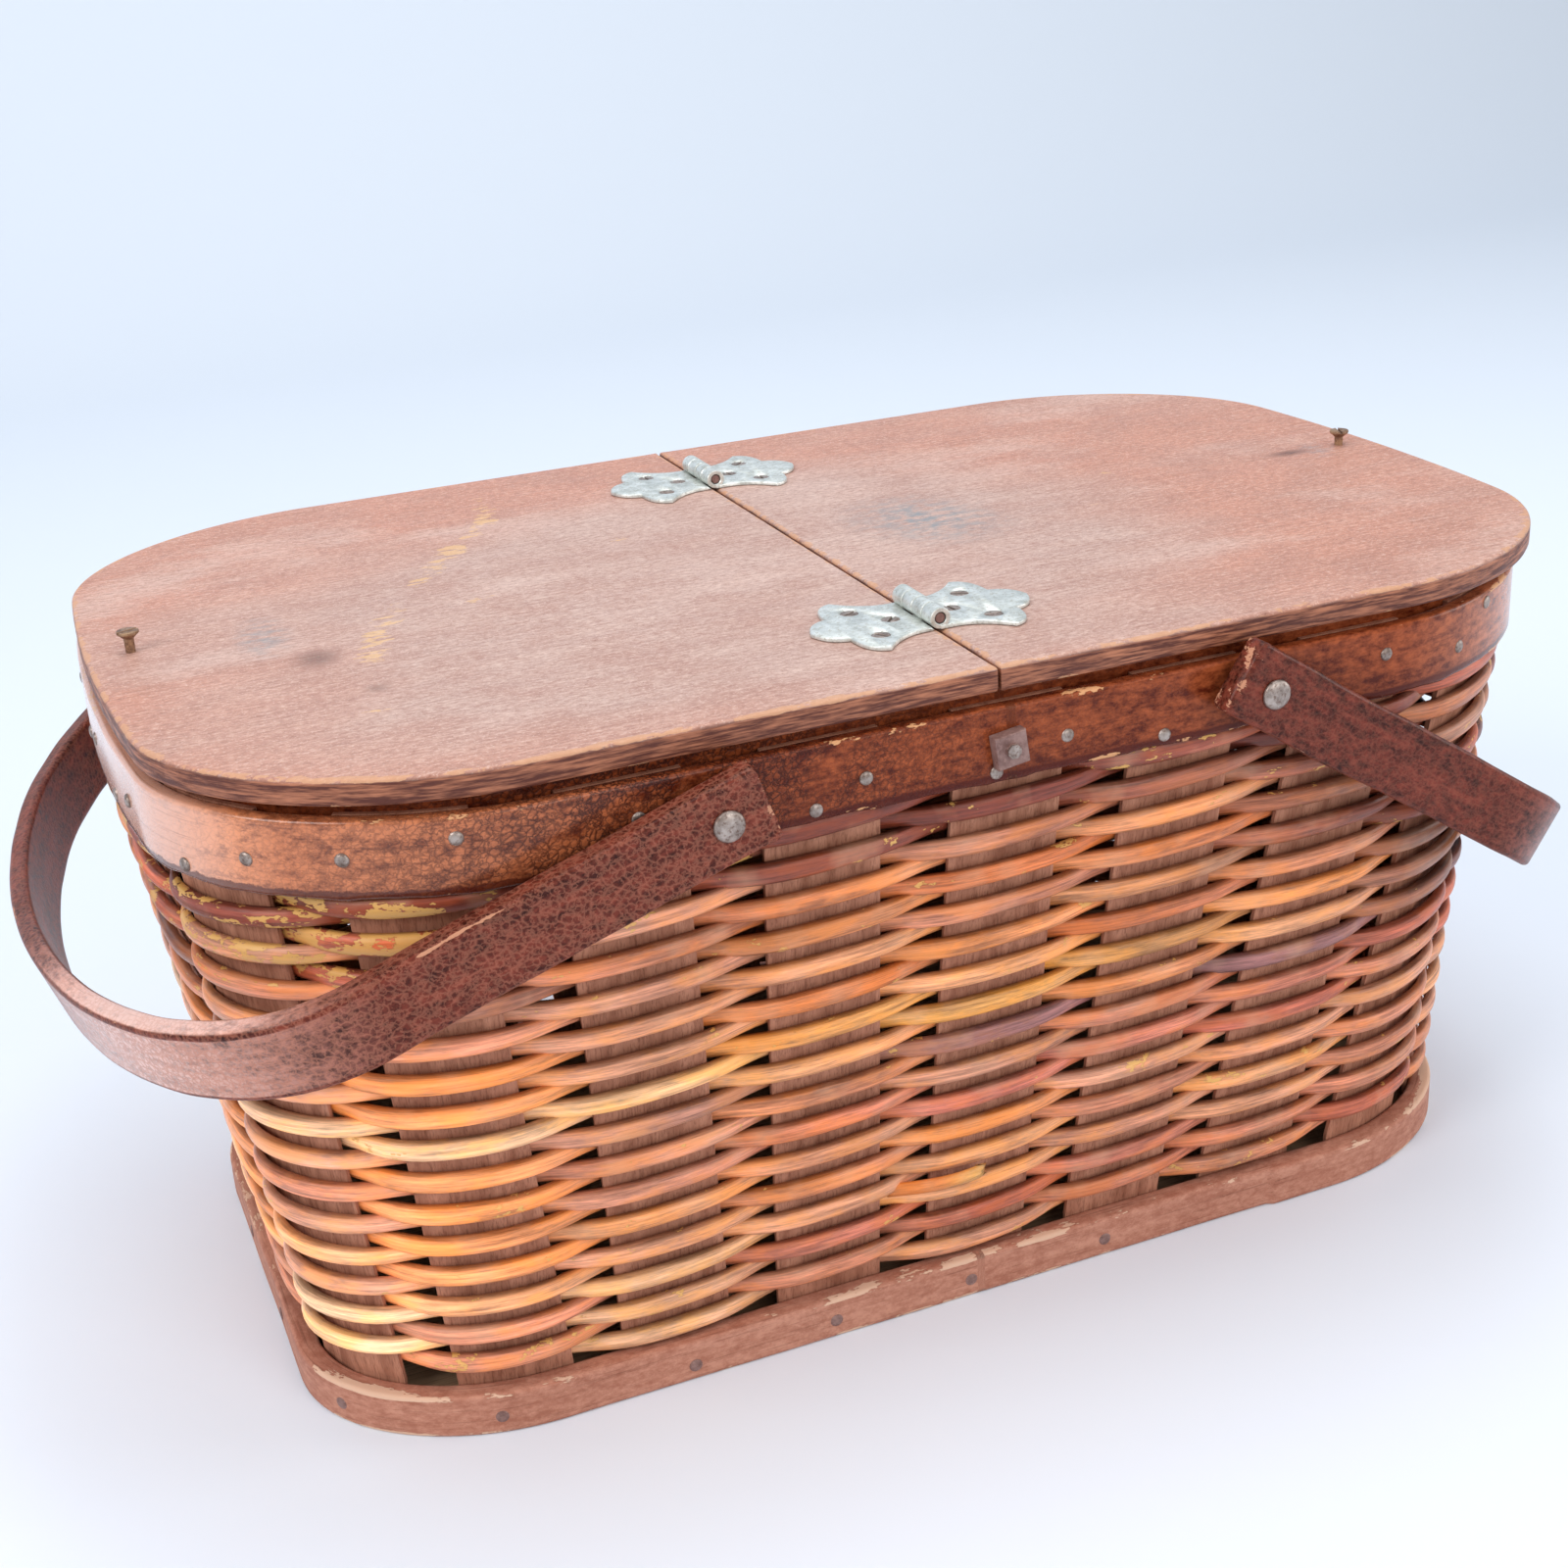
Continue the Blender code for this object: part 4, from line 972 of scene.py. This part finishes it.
# The strip runs along two straight arms joined by a half ellipse, drawn level about the
# line through the rivets and then let down to its rest angle
def handlePiece(word, side, seed):
    bend = np.linspace(-np.pi / 2, np.pi / 2, 150)
    halfSpan, corner = handle["halfSpan"], handle["corner"]
    path = ((handle["reach"] - handle["bend"] + handle["bend"] * np.cos(bend))
            + 1j * halfSpan * np.sin(bend))
    arm = np.r_[0, 0.6, 1.6, 3, *np.linspace(6, 136, 44)[:-1]] * mm - handle["tail"]
    arm = arm[arm < path[0].real - 1 * mm]
    path = np.r_[arm - 1j * halfSpan, path, arm[::-1] + 1j * halfSpan]
    run = np.r_[0, np.cumsum(np.abs(np.diff(path)))]
    along = np.gradient(path)
    inwards = 1j * along / np.abs(along)
    thick = handle["thickness"] + handle["thickerArm"] * np.abs(path.imag / halfSpan) ** 4
    end = np.minimum(run, run[-1] - run)
    section = handleSection(corner)
    size = len(section)
    depth = section[:, 0] * thick[:, None] + section[:, 2]
    up = section[:, 1] * (handle["width"] / 2 - corner) + section[:, 3]
    inset = np.clip(1 - end / handle["endRound"], 0, 1)[:, None] ** 2 * handle["endInset"]
    depth = depth + (1 - 2 * section[:, 0]) * inset
    up = up - np.sign(up) * inset
    rough = np.clip(1 - end / handle["roughEnd"], 0, 1)[:, None]
    ragged = np.random.default_rng(seed).normal(0, handle["rough"], depth.shape) * rough
    depth = depth + ragged
    up = up + handle["waver"] * ripple(run, 0.11, seed)[:, None] + ragged * 0.6
    place = path[:, None] + inwards[:, None] * depth
    level = np.stack([side * place.real, place.imag, up], axis=-1)
    turnY = np.array(Matrix.Rotation(side * math.radians(handle["hang"][word]), 3, "Y"))
    rivetLow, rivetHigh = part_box(word + "_front_rivet")
    pivot = (rivetLow + rivetHigh) / 2
    rings = level @ turnY.T + np.array([pivot.x, 0, pivot.z])
    wear = section[:, 4] * (0.7 + 0.5 * ripple(run, 0.13, seed + 2)[:, None])
    wear = np.maximum(wear, np.clip(1 - end / handle["wornEnd"], 0, 1)[:, None])
    grain = np.stack([perRing(run, size), up, depth], axis=-1)
    # painted highlight on the front of the crown, strongest on its upper face
    front = np.exp(-((path.imag - handle["sheenY"]) / handle["sheenReach"]) ** 2)
    sheen = perRing(front * ramp(path.real, handle["sheenFrom"], handle["sheenLength"]), size)
    outer = (section[:, 0] == 0) * (section[:, 4] == 0)
    upper = section[:, 1] * (section[:, 3] > 0.9 * corner)
    gloss = ((handle["outerSheen"] * outer + handle["upperSheen"] * upper) * sheen
             * handle["sheen"][word])
    old = handle["crazed"][word] + handle["crazedShine"][word] * sheen * outer
    piece = loft(word + "_handle_bow", rings, handleVarnish, sharp=50, grain=grain,
                 edge=np.clip(wear, 0, 1.3), low=0 * sheen, gloss=gloss, old=old)
    settle(piece, "handle_wood", word + "_handle", word + "_handle")


handlePiece("left", -1, 61)
handlePiece("right", 1, 83)
print("handles bent")


# Hinges: screw places are shares of a leaf's length and half width

hinge = {
    "leafLength": 39.3 * mm, "leafHalf": 24.7 * mm, "leafThick": 1.3 * mm,
    "leafBevel": 0.4 * mm, "barrelRadius": 3.6 * mm, "barrelLength": 29.4 * mm,
    "knuckles": 4, "knuckleGap": 0.2 * mm, "cutGap": 0.4 * mm, "pinRadius": 1.7 * mm,
    "pinShort": 0.5 * mm, "holeRadius": 3.7 * mm, "holeCore": 1.8 * mm,
    "holeStand": 0.1 * mm, "cutMore": 0.6 * mm, "endCut": 3 * mm,
    "headRadius": 3.05 * mm, "headSunk": 0.25 * mm,
    "screws": ((0.515, 0.5), (0.28, 0.0), (0.515, -0.5)),
}
pinZ = (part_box("front_hinge_pin")[0].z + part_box("front_hinge_pin")[1].z) / 2
hingeY = (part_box("rear_hinge_pin")[0].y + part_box("rear_hinge_pin")[1].y) / 2
leafTop = -hinge["barrelRadius"] + hinge["leafThick"]
lyingDown = Matrix.Rotation(math.pi / 2, 4, "X")


# A curve from start to end that is drawn towards a middle point, by squares of the share
def bow(start, middle, end, count=10):
    step = np.linspace(0, 1, count)[:, None]
    start, middle, end = map(np.array, (start, middle, end))
    return (1 - step) ** 2 * start + 2 * step * (1 - step) * middle + step ** 2 * end


# Three bows on each side: flare to the ear, ear to the notch, notch to the tip
def leafOutline():
    half = np.vstack([[(0.0, 0.592)], bow((0.13, 0.592), (0.37, 0.6), (0.565, 1.0)),
                      bow((0.575, 0.995), (0.76, 0.93), (0.762, 0.42)),
                      bow((0.766, 0.415), (0.95, 0.37), (1.0, 0.0))[:-1]])
    whole = np.vstack([half, [(1.0, 0.0)], (half * (1, -1))[::-1]])
    return whole * (hinge["leafLength"], hinge["leafHalf"])


screwHead = {"slotHalf": 0.45 * mm, "slotDeep": 0.8 * mm, "rim": 0.05 * mm,
             "coneDeep": 2.4 * mm, "coneShare": 0.55, "bevel": 0.15 * mm}


# A screw head: a turned cone under two half moons that leave a slot between them
def slottedHead(radius, top, spin):
    seat = top - screwHead["slotDeep"]
    cone = turned([(radius, seat), (radius, seat - screwHead["rim"]),
                   (radius * screwHead["coneShare"], top - screwHead["coneDeep"])], 28)
    reach = math.acos(screwHead["slotHalf"] / radius)
    turn = np.linspace(math.pi / 2 - reach, math.pi / 2 + reach, 14)
    moon = np.c_[radius * np.cos(turn), radius * np.sin(turn)]
    halves = [raised(side * moon, seat, top, screwHead["bevel"]) for side in (1, -1)]
    return placed(together([cone, *halves]), Matrix.Rotation(spin, 4, "Z"))


# A knuckle: a turned ring about the pin, with softened ends, closed through its bore
def knuckle(low, high, sides=32):
    soft = 0.25 * mm
    outer, inner = hinge["barrelRadius"], hinge["pinRadius"] + seatGap
    points, faces = turned([(inner, high - soft), (inner + soft, high), (outer - soft, high),
                            (outer, high - soft), (outer, low + soft), (outer - soft, low),
                            (inner + soft, low), (inner, low + soft)], sides)
    index = np.arange(len(points)).reshape(-1, sides)
    first, last = index[0], index[-1]
    bore = np.stack([first, np.roll(first, -1), np.roll(last, -1), last], -1).tolist()
    return placed((points, faces[:-2] + bore), lyingDown)


# A leaf is its raised outline less the countersunk holes and the room for the other
# leaf's knuckles; its own knuckles and screws are further pieces.
def leafPiece(word, side, place, y):
    span = hinge["barrelLength"] / hinge["knuckles"]
    turn = (Matrix.Translation((seamX, y, pinZ))
            @ Matrix.Rotation(0 if side > 0 else math.pi, 4, "Z"))
    outline = raised(leafOutline(), -hinge["barrelRadius"], leafTop, hinge["leafBevel"])
    name = f"{word}_{place}_hinge_leaf"
    leaf = meshPiece(name, *placed(outline, turn), nickel, 40)
    screws = [(along * hinge["leafLength"], across * hinge["leafHalf"])
              for along, across in hinge["screws"]]
    wide, narrow = hinge["holeRadius"], hinge["holeCore"]
    hole = turned([(wide, 1 * mm), (wide, 0.0), (narrow, -wide + narrow), (narrow, -4 * mm)],
                  28)
    holeTop = leafTop + hinge["holeStand"]
    cutters = [placed(hole, turn @ Matrix.Translation((x, across, holeTop)))
               for x, across in screws]
    rolls, cutRadius = [], hinge["barrelRadius"] + hinge["cutMore"]
    for number in range(hinge["knuckles"]):
        low = -hinge["barrelLength"] / 2 + number * span
        if number % 2:
            high = low + span + (hinge["endCut"] if number == hinge["knuckles"] - 1 else 0)
            rod = turned([(cutRadius, high + hinge["cutGap"]),
                          (cutRadius, low - hinge["cutGap"])], 24)
            cutters.append(placed(rod, turn @ Matrix.Rotation(-math.pi / 2, 4, "X")))
        else:
            start = -(low + hinge["knuckleGap"])
            rolls.append(knuckle(start - span + 2 * hinge["knuckleGap"], start))
    cutter = meshPiece(name + "_cuts", *together(cutters), nickel)
    cutter.hide_render = cutter.hide_viewport = True
    cut = leaf.modifiers.new("holes", "BOOLEAN")
    cut.operation, cut.solver, cut.object = "DIFFERENCE", "EXACT", cutter
    rolled = meshPiece(f"{word}_{place}_knuckles", *placed(together(rolls), turn), nickel, 40)
    heads = [placed(slottedHead(hinge["headRadius"], leafTop - hinge["headSunk"],
                                rng.uniform(0, math.pi)),
                    turn @ Matrix.Translation((x, across, 0))) for x, across in screws]
    screwHeads = meshPiece(f"{word}_{place}_hinge_screws", *together(heads), agedSteel, 35)
    settle(leaf, "dull_nickel", word + "_lid", f"{word}_{place}_leaf")
    settle(rolled, "dull_nickel", word + "_lid")
    settle(screwHeads, "aged_steel", word + "_lid")


# A hinge pin: a rod with softened ends
def pinPiece(place, y):
    radius, soft = hinge["pinRadius"], 0.2 * mm
    half = hinge["barrelLength"] / 2 - hinge["pinShort"]
    rod = turned([(radius - soft, half), (radius, half - soft), (radius, -half + soft),
                  (radius - soft, -half)], 24)
    turn = Matrix.Translation((seamX, y, pinZ)) @ lyingDown
    piece = meshPiece(place + "_pin_rod", *placed(rod, turn), darkSteel, 40)
    settle(piece, "aged_steel", "basket", place + "_hinge_pin")


for word, side in (("left", -1), ("right", 1)):
    leafPiece(word, side, "front", -hingeY)
    leafPiece(word, side, "rear", hingeY)
pinPiece("front", -hingeY)
pinPiece("rear", hingeY)

pull = {
    "headRadius": 3.7 * mm, "neck": (3.6 * mm, 0.9 * mm), "shank": (1.7 * mm, 2.6 * mm),
    "tipRadius": 1.6 * mm, "sunk": 5 * mm,
    "lower": {"left": 1.5 * mm, "right": 3 * mm}, "spin": {"left": 0.4, "right": 1.2},
}


# A pull screw: a countersunk slotted head on a bare turned shank
def pullPiece(word):
    low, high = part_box(word + "_pull_screw")
    top = high.z - pull["lower"][word]
    neck, shank = ((radius, top - down) for radius, down in (pull["neck"], pull["shank"]))
    body = turned([neck, shank, (pull["tipRadius"], lidHigh.z - pull["sunk"])], 20)
    screw = together([slottedHead(pull["headRadius"], top, pull["spin"][word]), body])
    middle = Matrix.Translation(((low.x + high.x) / 2, (low.y + high.y) / 2, 0))
    piece = meshPiece(word + "_finger_screw", *placed(screw, middle), rustySteel, 35)
    settle(piece, "aged_steel", word + "_lid", word + "_pull_screw")


pullPiece("left")
pullPiece("right")
print("hinges made")


# Fasteners of the basket

rivet = {"radius": 5 * mm, "rise": 1.6 * mm, "rim": 0.4 * mm, "shank": 2.3 * mm,
         "shankLength": 24 * mm, "stand": 2.2 * mm}
nut = {"less": 0.2 * mm, "bevel": 0.5 * mm, "turn": 0.14,
       # radius and height above the nut's face, from the bolt's tip inwards
       "boltEnd": ((1.0 * mm, 0.9 * mm), (2.3 * mm, 0.7 * mm), (2.45 * mm, 0.4 * mm),
                   (2.45 * mm, -0.6 * mm))}


# A rivet: a turned quarter sine dome and rim on a straight shank
def rivetPiece(word, place, direction):
    low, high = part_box(f"{word}_{place}_rivet")
    turn = np.linspace(0.25, math.pi / 2, 7)
    dome = [(rivet["radius"] * math.sin(t), rivet["rise"] * math.cos(t) + rivet["rim"])
            for t in turn]
    profile = [*dome, (rivet["radius"], 0), (rivet["shank"], 0),
               (rivet["shank"], -rivet["shankLength"])]
    outer = low.y if direction < 0 else high.y
    seat = ((low.x + high.x) / 2, outer - direction * rivet["stand"], (low.z + high.z) / 2)
    points, faces = placed(turned(profile, 32), facing(seat, (0, direction, 0)))
    piece = meshPiece(f"{word}_{place}_rivet_head", points, faces, agedSteel, 50)
    settle(piece, "aged_steel", "basket", f"{word}_{place}_rivet")


for word in ("left", "right"):
    rivetPiece(word, "front", -1)
    rivetPiece(word, "rear", 1)

# Nails: the front ones stand at measured places, in mm of x and height; the other three
# sides have theirs at each stake, in mm along the wall from it and of height
rimNails = {
    "front": ((-202, 225), (-173, 230), (-121, 225.5), (-65, 216), (-48, 223), (-3.6, 215.6),
              (21.6, 223), (57, 216), (142, 227.6), (174.6, 222), (190, 233)),
    "around": ((-5, 216), (19, 223)), "radius": 2.3 * mm, "rise": 0.9 * mm,
    "scatter": 0.8 * mm,
}
bandNails = {
    "front": ((-174, 7), (-108, 6), (-55, 7), (-2, 7), (53, 7), (128, 8), (172, 7)),
    "around": ((0, 7),), "radius": 2.4 * mm, "rise": 0.5 * mm, "scatter": 0.8 * mm,
}


# The wall's outward direction, from two points of it one behind the other
def wallDirection(share, height):
    outward = wallPoint(share, height, 10 * mm) - wallPoint(share, height, 0)
    return outward / np.linalg.norm(outward)


# A nail's head: a turned dome, with its rim sunk in the wood
def nailHead(radius, rise):
    turn = np.linspace(0.3, math.pi / 2, 5)
    dome = [(radius * math.sin(t), rise * math.cos(t)) for t in turn]
    return turned([*dome, (radius, -0.3 * mm), (0.5 * radius, -0.4 * mm)], 14)


# The nails of one strip: each head set on the strip's face and turned the way it faces
def nailPiece(name, nails, plan, level, face, material):
    shares = np.linspace(-0.2, 0.2, 401)
    spots = [(np.interp(x * mm, plan.at(shares).real, shares), z * mm)
             for x, z in nails["front"]]
    for number in range(stakes["longSide"], stakes["count"]):
        for shift, height in nails["around"]:
            spots.append((stakeShare(number) + shift * mm / plan.perimeter,
                          height * mm + rng.normal(0, nails["scatter"])))
    heads = []
    for share, height in spots:
        place = wallPoint(share, level, face)
        place[2] = height
        heads.append(placed(nailHead(nails["radius"], nails["rise"]),
                            facing(place, wallDirection(share, level))))
    settle(meshPiece(name, *together(heads), material, 50), "aged_steel", "basket")


nailPiece("rim_nails", rimNails, rimPlan, hoopLow.z,
          stripInner + hoop["thickness"] + 0.1 * mm, agedSteel)
nailPiece("band_nails", bandNails, footPlan, 0.0, stripInner + band["thickness"], darkSteel)


# A square nut: a raised square with the turned end of its bolt
def nutPiece(place, direction):
    low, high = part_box(place + "_nut")
    half = (high.x - low.x) / 2 - nut["less"]
    square = np.array([(-half, -half), (half, -half), (half, half), (-half, half)])
    thick = high.y - low.y
    boltEnd = turned([(radius, thick + above) for radius, above in nut["boltEnd"]], 24)
    body = together([raised(square, 0.0, thick, nut["bevel"]), boltEnd])
    seat = (0, low.y if direction > 0 else high.y, (low.z + high.z) / 2)
    points, faces = placed(body, facing(seat, (0, direction, 0), nut["turn"]))
    piece = meshPiece(place + "_square_nut", points, faces, darkSteel, 35)
    settle(piece, "aged_steel", "basket", place + "_nut")


nutPiece("front", -1)
nutPiece("rear", 1)
print("fasteners made")


# Frame nodes that keep their shape get only a material
for node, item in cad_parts.items():
    if "_stake_" in node:
        finish = splintWood
    elif node.endswith("_washer") or node == "tie_rod":
        finish = agedSteel
    elif node in ("floor_board", "crossbar"):
        finish = innerWood
    else:
        continue
    item.data.materials.clear()
    item.data.materials.append(finish)


# Stage, light and camera, in metres

backdrop = {"front": -3.5, "back": 1.6, "sweep": 0.8, "top": 4.5, "halfWidth": 6.0}
lamps = {
    "windowLight": {"place": (-1.9, -0.6, 1.5), "target": (0, 0, 0.12), "size": 1.4,
                    "power": 27, "color": (1.0, 0.99, 0.98)},
    "frontLight": {"place": (0.5, -2.2, 1.2), "target": (0, 0, 0.1), "size": 1.6,
                   "power": 17, "color": (1.0, 0.99, 0.97)},
    "sideLight": {"place": (2.1, -0.7, 0.8), "target": (0, 0, 0.05), "size": 1.2,
                  "power": 11, "color": (1.0, 1.0, 1.0)},
    "topLight": {"place": (0.2, 0.3, 2.3), "target": (0, 0, 0.1), "size": 1.9,
                 "power": 22, "color": (1.0, 1.0, 1.0)},
}
room = {"color": (0.94, 0.97, 1.0, 1), "strength": 0.56}
# The camera looks down on the front left corner, as the photograph does
view = {"place": (-0.2994, -0.7242, 0.4848), "right": (0.92056, -0.38708, -0.05225),
        "up": (0.19525, 0.34020, 0.91986), "back": (-0.33829, -0.85699, 0.38876),
        "lens": 51.0, "sensor": 36.0}


# A floor that goes up into a wall by a quarter circle
def makeStage():
    turn = np.linspace(0, 1, 14)[1:] * np.pi / 2
    run = np.r_[np.linspace(backdrop["front"], backdrop["back"], 8),
                backdrop["back"] + backdrop["sweep"] * np.sin(turn)]
    rise = np.r_[np.zeros(8), backdrop["sweep"] * (1 - np.cos(turn)), backdrop["top"]]
    run = np.r_[run, run[-1]]
    ends = np.tile((-backdrop["halfWidth"], backdrop["halfWidth"]), len(run))
    points = np.stack([ends, np.repeat(run, 2), np.repeat(rise, 2)], axis=-1)
    faces = (2 * np.arange(len(run) - 1)[:, None] + (0, 1, 3, 2)).tolist()
    floor = meshPiece("pale_floor", points, faces, stageMaterial())
    floor.data.flip_normals()


def areaLight(name, place, target, size, power, color):
    light = bpy.data.lights.new(name, "AREA")
    light.shape, light.size, light.energy, light.color = "DISK", size, power, color
    lamp = bpy.data.objects.new(name, light)
    lamp.location = place
    lamp.rotation_mode = "QUATERNION"
    lamp.rotation_quaternion = (Vector(target) - Vector(place)).to_track_quat("-Z", "Y")
    bpy.context.scene.collection.objects.link(lamp)


makeStage()
for name, lamp in lamps.items():
    areaLight(name, **lamp)

world = bpy.data.worlds.new("softRoom")
bpy.context.scene.world = world
world.use_nodes = True
world.node_tree.nodes["Background"].inputs["Color"].default_value = room["color"]
world.node_tree.nodes["Background"].inputs["Strength"].default_value = room["strength"]

lens = bpy.data.cameras.new("photoView")
lens.sensor_width, lens.lens = view["sensor"], view["lens"]
camera = bpy.data.objects.new("photoView", lens)
axes = Matrix([view[axis] for axis in ("right", "up", "back")]).transposed()
camera.matrix_world = Matrix.Translation(view["place"]) @ axes.to_4x4()
bpy.context.scene.collection.objects.link(camera)
bpy.context.scene.camera = camera
bpy.context.scene.view_settings.view_transform = "Standard"
print("stage set")
